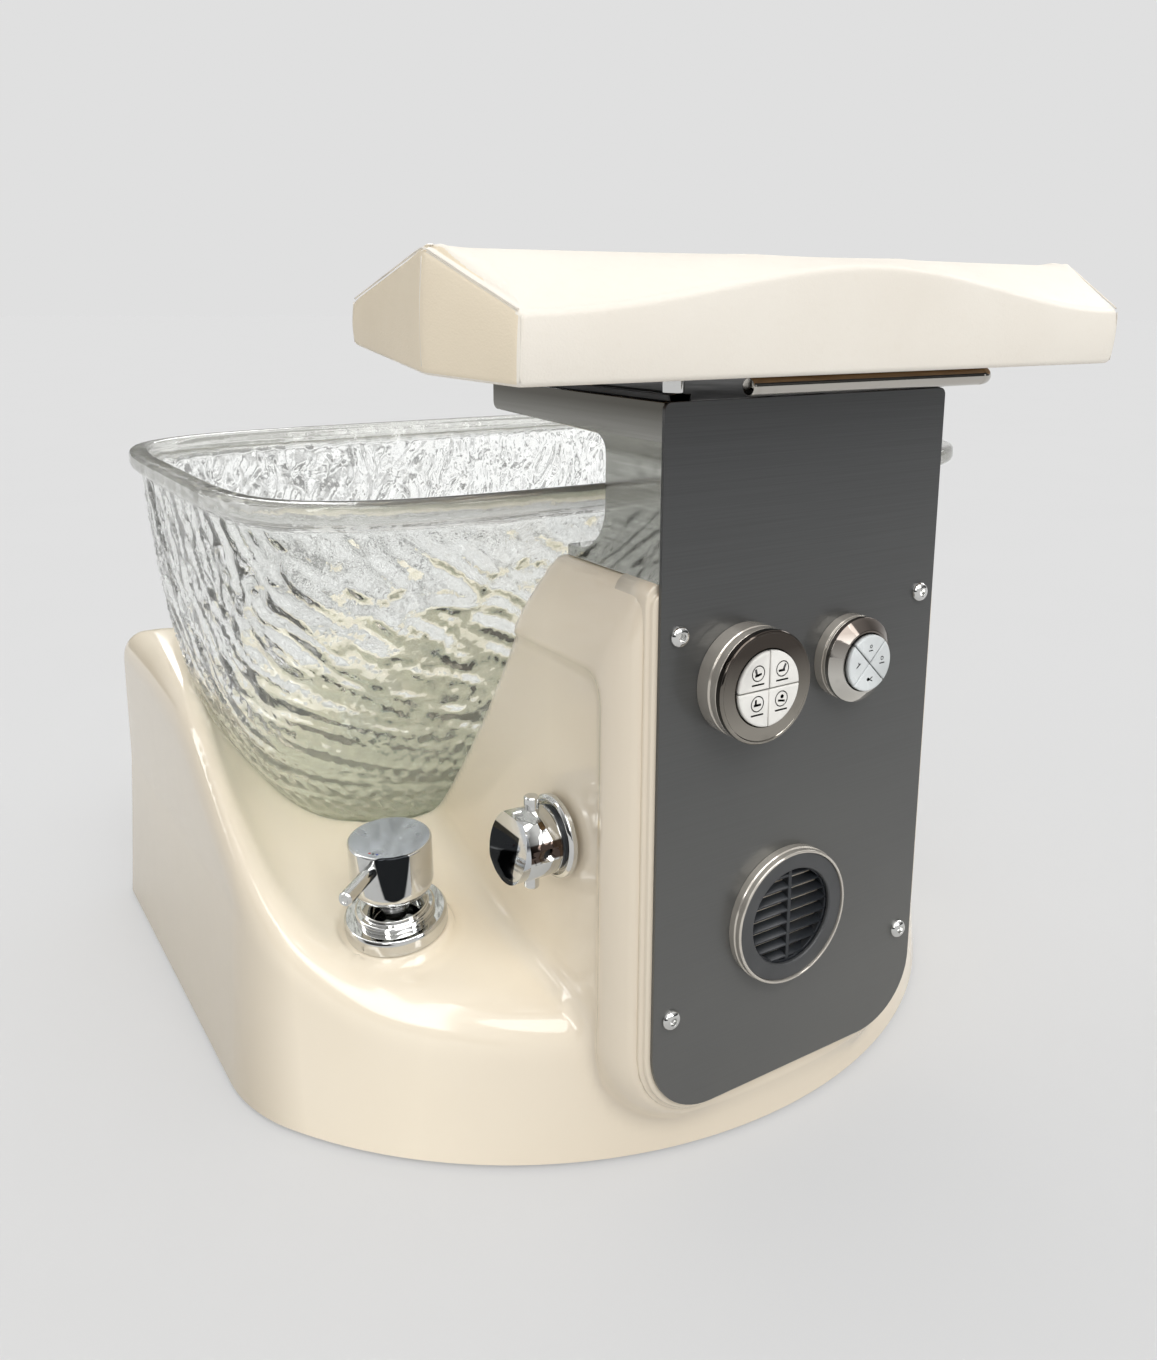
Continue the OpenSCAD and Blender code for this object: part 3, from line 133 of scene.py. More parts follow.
class Shader:
    """Node tree of one finish or of the world."""

    def __init__(self, name, owners="materials"):
        self.owner = getattr(bpy.data, owners).new(name)
        self.owner.use_nodes = True
        self.tree = self.owner.node_tree
        self.tree.nodes.clear()

    def node(self, kind, settings=None, inputs=(), out=0):
        node = self.tree.nodes.new(kind)
        for key, value in (settings or {}).items():
            setattr(node, key, value)
        for key, value in inputs.items() if isinstance(inputs, dict) else enumerate(inputs):
            if isinstance(value, Field):
                self.tree.links.new(value.socket, node.inputs[key])
            else:
                node.inputs[key].default_value = value
        return Field(self, node, out)

    def maths(self, operation, *values):
        return self.node("ShaderNodeMath", {"operation": operation}, values)

    def place(self):
        return self.node("ShaderNodeTexCoord").out("Object")

    def along(self, axis):
        """Place along one axis."""
        return self.node("ShaderNodeSeparateXYZ", inputs=[self.place()]).out(axis)

    def mapped(self, *scale):
        return self.node("ShaderNodeMapping", inputs={"Vector": self.place(), "Scale": scale})

    def noise(self, scale, detail=2.0, rough=0.5, distortion=0.0, vector=None):
        return self.node("ShaderNodeTexNoise", inputs={
            "Vector": vector or self.place(), "Scale": scale, "Detail": detail, "Roughness": rough,
            "Distortion": distortion})

    def cells(self, scale):
        """Distance from the middles of small cells."""
        cells = self.node("ShaderNodeTexVoronoi", inputs={"Vector": self.place(), "Scale": scale})
        return cells.out("Distance")

    def span(self, value, low, high, to_low=0.0, to_high=1.0):
        return self.node("ShaderNodeMapRange", inputs=[value, low, high, to_low, to_high])

    def mix(self, share, a, b):
        return self.node("ShaderNodeMix", {"data_type": "RGBA"}, {0: share, 6: a, 7: b}, out=2)

    def cover(self, share, under, over):
        """One surface over another."""
        return self.node("ShaderNodeMixShader", inputs=[share, under, over])

    def clear(self, r=1.0, g=1.0, b=1.0):
        return self.node("ShaderNodeBsdfTransparent", inputs={"Color": (r, g, b, 1)})

    def ray(self, name):
        return self.node("ShaderNodeLightPath").out(name)

    def first_pass(self):
        """Rays that come through glass before any bounce off a plain surface."""
        return self.ray("Is Transmission Ray") * self.span(self.ray("Diffuse Depth"), 0.0, 1.0, 1.0, 0.0)

    def bump(self, height, strength, distance, under=None):
        inputs = {"Height": height, "Strength": strength, "Distance": distance}
        if under:
            inputs["Normal"] = under
        return self.node("ShaderNodeBump", inputs=inputs)

    def surface(self, **inputs):
        named = {key.replace("_", " "): value for key, value in inputs.items()}
        return self.node("ShaderNodeBsdfPrincipled", inputs=named)

    def finish(self, result, end="ShaderNodeOutputMaterial"):
        self.node(end, inputs={"Surface": result})
        return self.owner


def rgb(r, g, b):
    """An opaque colour from screen values of 0 to 255."""
    linear = [((c / 255 + 0.055) / 1.055) ** 2.4 if c > 10 else c / 255 / 12.92 for c in (r, g, b)]
    return (*linear, 1.0)


WORN = 0.86                                    # how dark the worn or cloudy part of a tint is


def gelcoat():
    """Cream moulded resin with a deep gloss and a faint orange peel, with painted light and shade: lightest
    on the inner surfaces, darker on the front band, darkest on the outer sides.
    """
    s = Shader("cream_gelcoat")
    specks = s.span(s.cells(260), 0.04, 0.09, 1.0, 0.0)
    # painted shade: the outer sides and the front band take darker tones than the inner surfaces, for how the
    # light falls on them
    outer = s.span(s.maths("ABSOLUTE", s.along("X")), 0.30, 0.325)
    front = s.span(s.along("Y"), FACE_Y + 0.10, FACE_Y + 0.02)
    tone = s.mix(s.span(s.noise(3.2, 3, 0.55), 0.35, 0.65), rgb(245, 233, 211), rgb(250, 239, 219))
    tone = s.mix(front, tone, rgb(225, 213, 193))
    tone = s.mix(outer, tone, rgb(211, 199, 178))
    tone = s.mix(specks * 0.10, tone, rgb(218, 203, 174))
    smudge = s.span(s.noise(26, 4, 0.6), 0.45, 0.75)
    relief = s.bump(s.noise(14), 0.05, 0.004, s.bump(s.noise(190, 1.0), 0.03, 0.0006))
    return s.finish(s.surface(Base_Color=tone, Roughness=0.10 + smudge * 0.07, IOR=1.5,
                              Coat_Weight=0.35, Coat_Roughness=0.03, Normal=relief))


def vinyl(name, pale, deep):
    """Smooth cream upholstery vinyl with a fine pebble grain."""
    s = Shader(name)
    creases = s.noise(120, 4, 0.62, 0.6, s.mapped(1.0, 1.0, 1.6))
    tone = s.mix(s.span(s.noise(9, 3), 0.3, 0.7), rgb(*deep), rgb(*pale))
    tone = s.mix(s.span(creases, 0.55, 0.8) * 0.10, tone, rgb(222, 210, 190))
    relief = s.bump(creases, 0.16, 0.0009, s.bump(s.cells(820), 0.22, 0.0004))
    return s.finish(s.surface(Base_Color=tone, Roughness=0.44 + 0.10 * s.span(creases, 0.3, 0.8),
                              IOR=1.46, Normal=relief))


def chrome(name="bright_chrome", tint=(214, 214, 212), rough=0.035, smear=0.05, dark=None, where=None,
           metal=1.0):
    """Plated metal with faint polishing marks and a few water marks, with a painted dark reflection in the
    share that where gives.
    """
    s = Shader(name)
    spots = s.span(s.noise(90, 3), 0.58, 0.72)
    tone = s.mix(spots * 0.35, rgb(*tint), rgb(*[c * WORN for c in tint]))
    # painted reflection: the share that where gives takes the dark tint
    if where:
        tone = s.mix(where(s), tone, rgb(*dark))
    relief = s.bump(s.noise(210, 3, 0.7, vector=s.mapped(1, 1, 6)), 0.015, 0.0003)
    return s.finish(s.surface(Base_Color=tone, Metallic=metal, Roughness=rough + smear * spots,
                              Normal=relief))


def painted_reflection_upward(low, high):
    """Share of a painted dark reflection that grows from one height up to another."""
    return lambda s: s.span(s.along("Z"), low, high)


def painted_reflection_band(middle, azimuth, half_angle, radius):
    """Share of a painted dark reflection: an upright band on the side of a round part."""
    a, edge = math.radians(azimuth), math.cos(math.radians(half_angle))
    return lambda s: s.span((s.along("X") - middle[0]) * (math.cos(a) / radius)
                            + (s.along("Y") - middle[1]) * (math.sin(a) / radius), edge - 0.006, edge + 0.006)


def painted_reflection_belt(height, half):
    """Share of a painted dark reflection: a level band at one height."""
    return lambda s: s.span(s.maths("ABSOLUTE", s.along("Z") - height), half, half - 0.001)


def painted_reflection_corner(y_low, z_high, soft=0.0008):
    """Share of a painted dark reflection over what lies beyond one depth and below one height."""
    return lambda s: s.span(s.along("Y"), y_low, y_low + soft) * s.span(s.along("Z"), z_high, z_high - soft)


def polished_sheet():
    """Mirror polished stainless sheet with soft ripples, with a painted dark reflection near the column's
    top, under the footrest.
    """
    s = Shader("polished_sheet")
    ripples = s.noise(16, 2)
    lines = s.noise(3, 2, vector=s.mapped(4, 4, 260))
    tone = s.mix(s.span(lines, 0.3, 0.7), rgb(178, 178, 172), rgb(190, 190, 185))
    # painted reflection: darker towards the top of the column, under the footrest
    tone = s.mix(s.span(s.along("Z"), 0.480, 0.516), tone, rgb(92, 90, 84))
    rough = 0.05 + 0.05 * s.span(ripples, 0.4, 0.7)
    return s.finish(s.surface(Base_Color=tone, Metallic=1.0, Roughness=rough,
                              Normal=s.bump(ripples, 0.06, 0.003)))


def panel_grey():
    """Dark grey coated steel with a quiet gloss, with a painted reflection that is lighter low down and
    darker towards the top.
    """
    s = Shader("dark_grey_panel")
    brushed = s.noise(2.4, 3, 0.6, vector=s.mapped(3, 3, 420))
    clouds = s.span(s.noise(7, 3), 0.3, 0.7)
    tone = s.mix(clouds, rgb(92, 92, 90), rgb(97, 97, 94))
    # painted reflection: lighter low down towards the floor, darker towards the top
    tone = s.mix(s.span(s.along("Z"), 0.10, 0.50), tone, rgb(62, 63, 64))
    tone = s.mix(s.span(brushed, 0.35, 0.65) * 0.12, tone, rgb(104, 106, 106))
    return s.finish(s.surface(Base_Color=tone, Metallic=0.35, Roughness=0.34 + 0.05 * clouds,
                              Coat_Weight=0.25, Coat_Roughness=0.12, Normal=s.bump(brushed, 0.02, 0.0002)))


def satin(name, color, rough=0.45, metallic=0.0, grain=300, depth=0.0002):
    """A plain paint, plastic or rubber with a fine moulded texture."""
    s = Shader(name)
    clouds = s.noise(24, 3)
    tone = s.mix(s.span(clouds, 0.35, 0.7), rgb(*color), rgb(*[c * WORN for c in color]))
    rough = rough + 0.12 * s.span(clouds, 0.3, 0.7)
    return s.finish(s.surface(Base_Color=tone, Metallic=metallic, Roughness=rough,
                              Normal=s.bump(s.noise(grain, 3, 0.6), 0.2, depth)))


def plywood():
    """Bare board with long grain."""
    s = Shader("birch_board")
    grain = s.noise(6, 4, 0.6, 0.8, s.mapped(4, 60, 60))
    tone = s.mix(s.span(grain, 0.35, 0.65), rgb(176, 139, 94), rgb(140, 103, 63))
    return s.finish(s.surface(Base_Color=tone, Roughness=0.6, Normal=s.bump(grain, 0.2, 0.0004)))


def clear_glass():
    """Clear cast glass that turns pale green where it is thick."""
    s = Shader("clear_glass")
    low = s.span(s.along("Z"), BOWL_FOOT + 0.01, BOWL_FOOT + 0.16, 1.0, 0.0)
    rim = s.span(s.along("Z"), BOWL_TOP - 0.021, BOWL_TOP - 0.012)
    relief = s.bump(s.noise(60, 3), 0.22, 0.003)
    tone = s.mix(low, rgb(252, 253, 252), rgb(243, 248, 240))
    glass = s.surface(Base_Color=tone, Roughness=0.012, IOR=1.45, Transmission_Weight=1.0, Normal=relief)
    tone = s.mix(low, rgb(206, 206, 198), rgb(210, 216, 196))
    milk = s.surface(Base_Color=tone, Roughness=0.10, IOR=1.45, Normal=relief)
    glass = s.cover(low * 0.26 + rim * 0.26 + 0.05, glass, milk)
    return s.finish(s.cover(s.ray("Is Shadow Ray"), glass, s.clear(0.97, 0.98, 0.97)))


def bubble_glass():
    """Air caught in the glass: bright rims over clear middles, the rims a painted reflection."""
    s = Shader("bubble_glass")
    tone = s.mix(s.span(s.noise(90, 2), 0.3, 0.7), rgb(224, 232, 214), rgb(244, 248, 238))
    # painted reflection: a pale shell shows where the bubble's surface turns away
    facing = s.node("ShaderNodeLayerWeight", inputs={"Blend": 0.35}).out("Facing")
    shell = s.surface(Base_Color=tone, Roughness=0.08, IOR=1.45, Metallic=0.35)
    return s.finish(s.cover(s.span(facing, 0.3, 0.9), s.clear(0.98, 0.99, 0.97), shell))


# ---------- making pieces ----------

SHOP = Matrix.Translation((0, FACE_Y, 0)) @ Matrix.Scale(MM, 4)    # millimetres from the panel's face


def turn(axis, degrees):
    return Matrix.Rotation(math.radians(degrees), 4, axis)


def move(x, y, z):
    return Matrix.Translation((x, y, z))


def linked(name, data):
    """An object of the given data, in the scene."""
    piece = bpy.data.objects.new(name, data)
    bpy.context.scene.collection.objects.link(piece)
    return piece


@contextmanager
def editing(mesh):
    """Opens a mesh for editing and writes it back."""
    bm = bmesh.new()
    bm.from_mesh(mesh)
    yield bm
    bm.to_mesh(mesh)
    bm.free()


def everything(bm):
    return list(bm.verts) + list(bm.edges) + list(bm.faces)


def mesh_piece(name, verts, faces, place=None):
    """A mesh object from points and faces, welded, closed and facing outwards."""
    mesh = bpy.data.meshes.new(name)
    mesh.from_pydata([tuple(v) for v in verts], [], [tuple(f) for f in faces])
    tidy_mesh(mesh, place)
    return linked(name, mesh)


def tidy_mesh(mesh, place=None, weld=1e-6):
    """Moves the mesh into place, welds it, turns its faces outwards and shades it smooth."""
    with editing(mesh) as bm:
        if place is not None:
            bm.transform(place)
        bmesh.ops.remove_doubles(bm, verts=bm.verts, dist=weld)
        bmesh.ops.dissolve_degenerate(bm, edges=bm.edges, dist=weld)
        bmesh.ops.recalc_face_normals(bm, faces=bm.faces)
        for face in bm.faces:
            face.smooth = True


def baked(piece):
    """Turns the piece's modifiers or its curve into plain mesh."""
    bpy.context.view_layer.update()
    seen = piece.evaluated_get(bpy.context.evaluated_depsgraph_get())
    mesh = bpy.data.meshes.new_from_object(seen)
    if piece.type == "MESH":
        piece.modifiers.clear()
        piece.data = mesh
        return piece
    name = piece.name
    bpy.data.objects.remove(piece)
    return linked(name, mesh)


def shaded(piece):
    """Keeps flat faces flat to the eye."""
    piece.modifiers.new("shade", "WEIGHTED_NORMAL")
    return baked(piece)


def edged(piece, width, segments=2, angle=30):
    """Breaks the sharp edges."""
    bevel = piece.modifiers.new("edge", "BEVEL")
    bevel.width, bevel.segments, bevel.limit_method = width, segments, "ANGLE"
    bevel.angle_limit = math.radians(angle)
    bevel.use_clamp_overlap = True
    return shaded(piece)


def bored(piece, tool):
    """Cuts the tool's shape out of the piece."""
    cut = piece.modifiers.new("cut", "BOOLEAN")
    cut.object, cut.solver = tool, "EXACT"
    piece = baked(piece)
    bpy.data.objects.remove(tool)
    return piece


def bent(name, paths, **settings):
    """Mesh of a curve through the points of each path, closed or open."""
    curve = bpy.data.curves.new(name, "CURVE")
    for key, value in settings.items():
        setattr(curve, key, value)
    for points, closed in paths:
        spline = curve.splines.new("POLY")
        spline.points.add(len(points) - 1)
        for held, point in zip(spline.points, points):
            held.co = (*point, 1)
        spline.use_cyclic_u = closed
    return baked(linked(name, curve))


def lathe(profile, segments=128, closed=True):
    """Points and faces of a profile of (radius, height) turned round Z."""
    verts, faces, n = [], [], len(profile)
    for i in range(segments):
        angle = 2 * math.pi * i / segments
        verts += [(r * math.cos(angle), r * math.sin(angle), h) for r, h in profile]
    for i in range(segments):
        a, b = i * n, (i + 1) % segments * n
        for j in range(n if closed else n - 1):
            k = (j + 1) % n
            if profile[j][0] < 1e-9 and profile[k][0] < 1e-9:
                continue
            faces.append((a + j, b + j, b + k, a + k))
    return verts, faces


def turned(name, profile, place, edge=0.4, segments=128):
    piece = mesh_piece(name, *lathe(profile, segments), SHOP @ place)
    return edged(piece, edge * MM)


def lofted(loops, caps=(True, True)):
    """Points and faces of a skin over loops of equal length."""
    n = len(loops[0])
    verts = [p for loop in loops for p in loop]
    faces = [(j * n + i, j * n + (i + 1) % n, (j + 1) * n + (i + 1) % n, (j + 1) * n + i)
             for j in range(len(loops) - 1) for i in range(n)]
    if caps[0]:
        faces.append(tuple(range(n - 1, -1, -1)))
    if caps[1]:
        faces.append(tuple(range((len(loops) - 1) * n, len(loops) * n)))
    return verts, faces


def joined(name, pieces):
    """One piece from several, each keeping its own finish."""
    bm = bmesh.new()
    mesh = bpy.data.meshes.new(name)
    for piece in pieces:
        start, shift = len(bm.faces), len(mesh.materials)
        bm.from_mesh(piece.data)
        bm.faces.ensure_lookup_table()
        for face in bm.faces[start:]:
            face.material_index += shift
        for finish in piece.data.materials:
            mesh.materials.append(finish)
        bpy.data.objects.remove(piece)
    bm.to_mesh(mesh)
    bm.free()
    return linked(name, mesh)


def dressed(piece, finish):
    piece.data.materials.clear()
    piece.data.materials.append(FINISH[finish])
    return piece


def fitted(piece, body, slot, *covers, finish=None):
    """Says which body the piece rides on, its finish and what it stands for."""
    if finish:
        dressed(piece, finish)
    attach(piece, body)
    if covers:
        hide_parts(*covers)
    return piece


def refinished(piece, finish, chosen):
    """Gives the chosen faces one more finish."""
    piece.data.materials.append(FINISH[finish])
    for face in piece.data.polygons:
        if chosen(face):
            face.material_index = len(piece.data.materials) - 1


def softened(node, name, width, body, slot, finish):
    """A copy of a plain CAD solid with its edges broken."""
    mesh = nodes[node].data.copy()
    mesh.name = name
    mesh.materials.clear()
    with editing(mesh) as bm:
        bmesh.ops.remove_doubles(bm, verts=bm.verts, dist=1e-5)
        bmesh.ops.dissolve_limit(bm, angle_limit=math.radians(1), verts=bm.verts, edges=bm.edges)
        for face in bm.faces:
            face.smooth = True
    if mesh.has_custom_normals:
        mesh.attributes.remove(mesh.attributes["custom_normal"])
    return fitted(edged(linked(name, mesh), width * MM), body, slot, node, finish=finish)


# ---------- repeated small parts ----------

class Growth:
    """Geometry Nodes tree that ends in plain mesh with one finish."""

    def __init__(self, name, **sizes):
        self.tree = bpy.data.node_groups.new(name, "GeometryNodeTree")
        face = self.tree.interface
        face.new_socket("Geometry", in_out="INPUT", socket_type="NodeSocketGeometry")
        face.new_socket("Geometry", in_out="OUTPUT", socket_type="NodeSocketGeometry")
        self.sizes = {}
        for key, value in sizes.items():
            kind = "NodeSocketInt" if isinstance(value, int) else "NodeSocketFloat"
            item = face.new_socket(key, in_out="INPUT", socket_type=kind)
            self.sizes[key] = (item.identifier, value)
        self.given = self.tree.nodes.new("NodeGroupInput")

    def add(self, kind, settings=None, inputs=None):
        node = self.tree.nodes.new(kind)
        for key, value in (settings or {}).items():
            setattr(node, key, value)
        for key, value in (inputs or {}).items():
            if isinstance(value, bpy.types.NodeSocket):
                self.tree.links.new(value, node.inputs[key])
            elif isinstance(value, str) and value in self.sizes:
                self.tree.links.new(self.given.outputs[value], node.inputs[key])
            else:
                node.inputs[key].default_value = value
        return node

    def maths(self, operation, a, b):
        return self.add("ShaderNodeMath", {"operation": operation}, {0: a, 1: b}).outputs[0]

    def grow(self, name, mesh, finish, result, place=None):
        real = self.add("GeometryNodeRealizeInstances", inputs={"Geometry": result})
        shown = self.add("GeometryNodeSetMaterial", inputs={
            "Geometry": real.outputs[0], "Material": FINISH[finish]})
        end = self.add("NodeGroupOutput")
        self.tree.links.new(shown.outputs[0], end.inputs[0])
        piece = linked(name, mesh)
        modifier = piece.modifiers.new("growth", "NODES")
        modifier.node_group = self.tree
        for identifier, value in self.sizes.values():
            modifier[identifier] = value
        tidy_mesh(baked(piece).data, place)
        return piece

    def held(self, name, kind="FLOAT_VECTOR"):
        """What the points carry under a name."""
        return self.add("GeometryNodeInputNamedAttribute", {"data_type": kind}, {"Name": name}).outputs[0]

    def set_on_points(self, shape, **inputs):
        return self.add("GeometryNodeInstanceOnPoints", inputs={
            "Points": self.given.outputs[0], "Instance": shape, **inputs}).outputs[0]


def points_mesh(name, points, **carried):
    """Loose points that carry a number or a vector each under a name."""
    mesh = bpy.data.meshes.new(name)
    mesh.from_pydata([tuple(p) for p in points], [], [])
    for key, values in carried.items():
        flat = np.array(values, float)
        kind, field = ("FLOAT", "value") if flat.ndim == 1 else ("FLOAT_VECTOR", "vector")
        mesh.attributes.new(key, kind, "POINT").data.foreach_set(field, flat.ravel())
    return mesh


def repeated(name, shape, finish, place, points, turns, stretch=None):
    """Copies of a shape set on points, each with its own turn and stretch, as one plain mesh."""
    mesh = points_mesh(name + "_places", points, turn=turns, stretch=stretch or [(1, 1, 1)] * len(points))
    g = Growth(name, Size=1.0)
    solid = g.add("GeometryNodeObjectInfo", inputs={"Object": shape}).outputs["Geometry"]
    sized = g.add("ShaderNodeVectorMath", {"operation": "SCALE"}, {0: g.held("stretch"), "Scale": "Size"})
    placed = g.set_on_points(solid, Rotation=g.held("turn"), Scale=sized.outputs[0])
    piece = g.grow(name, mesh, finish, placed, place)
    bpy.data.objects.remove(shape)
    return piece


# ---------- moulded base ----------

PLAN_CY = FRONT_R + BOW_IN
FILLET_X = BASE_W / 2 - SIDE_R
FILLET_Y = PLAN_CY - math.sqrt((FRONT_R - SIDE_R) ** 2 - FILLET_X ** 2)
LEAN = (0.009, 0.006)                          # how far the front and the sides lean in
LEAN_H = 0.090                                 # height over which they do
LEAN_Y = 0.25                                  # depth at which the lean has gone over from front to side
FLANK_X = TOWER_W / 2
TOWER_BACK = 0.330
TOWER_BLEND = (0.012, 0.024)                   # fillet between the tower and the base, at the floor and above
BLEND_FROM, BLEND_OVER = 0.08, 0.06            # height at which that fillet starts to grow, and over which
TOWER_EDGE = 0.007                             # rounding along the tower's top
SHOULDER_R = 0.012                             # rounding where the flank starts to lean in
SHOULDER_TRUE = 0.90                           # true share of the level distance from the leaning flank
PANEL_BED = (0.0566, 0.0085)                   # reach from the corner's middle and depth of the border's bed
BED_EDGE = 0.001                               # rounding along that bed
VALLEY_BLEND = 0.030
CREST_BLEND = (0.030, 0.020)                   # rounding along the crest, outside and in the hollow
LIP_R = (0.0050, 0.008)                        # rounding along the bowl's recess, outside and in the hollow
RIM_SQUARE, FLOOR_SQUARE = 4.9, 3.4            # how square the bowl's plan is at its rim and at its floor
BOWL_IN = (0.213, 0.140, 0.080)                # how far its front, sides and rear draw in down to the foot
BOWL_BED, BOWL_BED_R = 0.002, 0.006            # gap under the bowl's foot and rounding of its recess there
SEAT_R, SEAT_EDGE = 0.0405, 0.004              # the tap's seat and the rounding of its rim
STAND_H, STAND_BLEND = 0.024, 0.010            # depth and fillet of the stand under it
TAP = dict(x=218.5, y=183.5, z=131.5, turn=219, tilt=10)          # middle of the seat, in millimetres
AT_TAP = move(-TAP["x"], TAP["y"], TAP["z"]) @ turn("Z", TAP["turn"]) @ turn("Y", TAP["tilt"])
TO_SEAT = (SHOP @ AT_TAP).inverted()
SEAT_TURN = np.array(TO_SEAT.to_3x3()) * MM
SEAT_SHIFT = np.array(TO_SEAT.translation) * MM


def lerp(a, b, t):
    return a + (b - a) * t


def ease(t):
    t = np.clip(t, 0, 1)
    return t * t * (3 - 2 * t)


def merged(a, b, k):
    """The nearer of two distances, with a fillet of size k."""
    h = np.clip(0.5 + 0.5 * (b - a) / k, 0, 1)
    return b + (a - b) * h - k * h * (1 - h)


def common(a, b, k):
    return -merged(-a, -b, k)


def square_corner(a, b):
    """Distance outside a square corner that runs off along both axes."""
    return np.hypot(np.maximum(a, 0), np.maximum(b, 0)) + np.minimum(np.maximum(a, b), 0)


def plan_distance(x, y):
    """Distance outside the base's plan."""
    bow = np.hypot(x, y - PLAN_CY) - FRONT_R
    fillet = np.hypot(x - FILLET_X, y - FILLET_Y) - SIDE_R
    straight = square_corner(x - (BASE_W / 2 - REAR_R), y - (BASE_D - REAR_R)) - REAR_R
    on_bow = FILLET_X * (PLAN_CY - y) - x * (PLAN_CY - FILLET_Y) > 0
    front = np.where(on_bow, bow, fillet)
    return np.where(y > FILLET_Y, straight, front)


def lean_in(y, z):
    """How far the walls stand in at a place."""
    most = lerp(*LEAN, ease(y / LEAN_Y))
    return most * np.clip(z / LEAN_H, 0, 1.6) ** 0.9


def valley_depth(x, z):
    """Distance inside a valley's section: flat floor and rising outer side."""
    u, w = x - VALLEY_X, z
    side = VALLEY_R - np.hypot(u, w - VALLEY_R)
    side = np.where(w > VALLEY_R, VALLEY_R - u, side)
    return np.where(u > 0, side, w)


def bowl_sizes(f):
    """Half width, half depth, middle and squareness of the bowl at a share of its depth."""
    front = BOWL_IN[0] * f ** 1.4
    side = BOWL_IN[1] * (0.2 * f + 0.8 * f ** 4)
    rear = BOWL_IN[2] * (0.45 * f + 0.55 * f ** 4)
    y0, y1 = RIM_Y[0] - FACE_Y + RIM_LIP + front, RIM_Y[1] - FACE_Y - RIM_LIP - rear
    return RIM_W / 2 - RIM_LIP - side, (y1 - y0) / 2, (y0 + y1) / 2, lerp(RIM_SQUARE, FLOOR_SQUARE, f)


def bowl_distance(x, y, z):
    """Distance outside the bowl's outer wall."""
    f = np.clip((BOWL_TOP - z) / BOWL_DEEP, 0.0, 1.0)
    a, b, mid, n = bowl_sizes(f)
    u, v = np.abs(x / a) + 1e-9, np.abs((y - mid) / b) + 1e-9
    total = (u ** n + v ** n) ** (1 / n)
    du, dv = total ** (1 - n) * u ** (n - 1) / a, total ** (1 - n) * v ** (n - 1) / b
    wall = (total - 1) / np.hypot(du, dv)
    leaning = 1 / np.sqrt(1 + (0.55 * v ** 3) ** 2 * (y < mid) + 0.12)
    return wall * leaning


def base_field(p, hollow=0.0):
    """Distance outside the moulding, or outside its hollow."""
    x, y, z = np.abs(p[..., 0]), p[..., 1] - FACE_Y, p[..., 2]
    inner = int(hollow > 0)
    walls = plan_distance(x, y) + lean_in(y, z)
    climb = (y - CLIMB[0]) / (CLIMB[1] - CLIMB[0])
    crest = lerp(FRONT_H, REAR_H, ease(climb))
    steep = (REAR_H - FRONT_H) / (CLIMB[1] - CLIMB[0]) * 6 * np.clip(climb, 0, 1) * (1 - np.clip(climb, 0, 1))
    top = (z - crest) / np.sqrt(1 + steep ** 2)
    level = valley_depth(x, z - VALLEY_H)
    dx, dy, dz = x, y - VALLEY_Y, z - VALLEY_H
    ct, st = math.cos(VALLEY_TURN), math.sin(VALLEY_TURN)
    cs, ss = math.cos(VALLEY_SLOPE), math.sin(VALLEY_SLOPE)
    lx, ly = dx * ct + dy * st, -dx * st + dy * ct
    rising = valley_depth(lx, dz * cs - ly * ss)
    floor = merged(level, rising, VALLEY_BLEND)
    low = common(walls, common(top, floor, CREST_BLEND[0]), CREST_BLEND[inner])
    belly = square_corner(x - TOWER_FOOT[0], TOWER_FOOT[1] - z)
    plan = square_corner(belly - (FLANK_X - TOWER_FOOT[0]) + TOWER_R, (TOWER_FRONT + TOWER_R) - y) - TOWER_R
    plan = np.maximum(plan, y - TOWER_BACK)
    flank = FLANK_X - SHOULDER_IN * (z - SHOULDER_H) / (TOWER_H - SHOULDER_H)
    field_in = merged(y - RECESS_Y, RECESS_TOP - z, RECESS_R)
    tower = common(plan, (x - flank) * SHOULDER_TRUE, SHOULDER_R)
    tower = common(tower + RECESS_DEEP * ease(field_in / RECESS_EDGE), z - TOWER_H, TOWER_EDGE)
    solid = merged(low, tower, lerp(*TOWER_BLEND, ease((z - BLEND_FROM) / BLEND_OVER)))
    bed = np.maximum(belly - PANEL_BED[0], y - PANEL_BED[1])
    solid = common(solid, -bed, BED_EDGE)
    seat = p @ SEAT_TURN.T + SEAT_SHIFT
    radius = np.hypot(seat[..., 0], seat[..., 1]) - SEAT_R
    stand = np.maximum(radius, np.maximum(seat[..., 2], -STAND_H - seat[..., 2]))
    solid = merged(solid, stand, STAND_BLEND)
    solid = common(solid, -np.maximum(radius - 0.001, -seat[..., 2]), SEAT_EDGE)
    bowl = common(bowl_distance(x, y, z) - BOWL_GAP, BOWL_FOOT - BOWL_BED - z, BOWL_BED_R)
    return common(solid + hollow, -(bowl - hollow), LIP_R[inner])


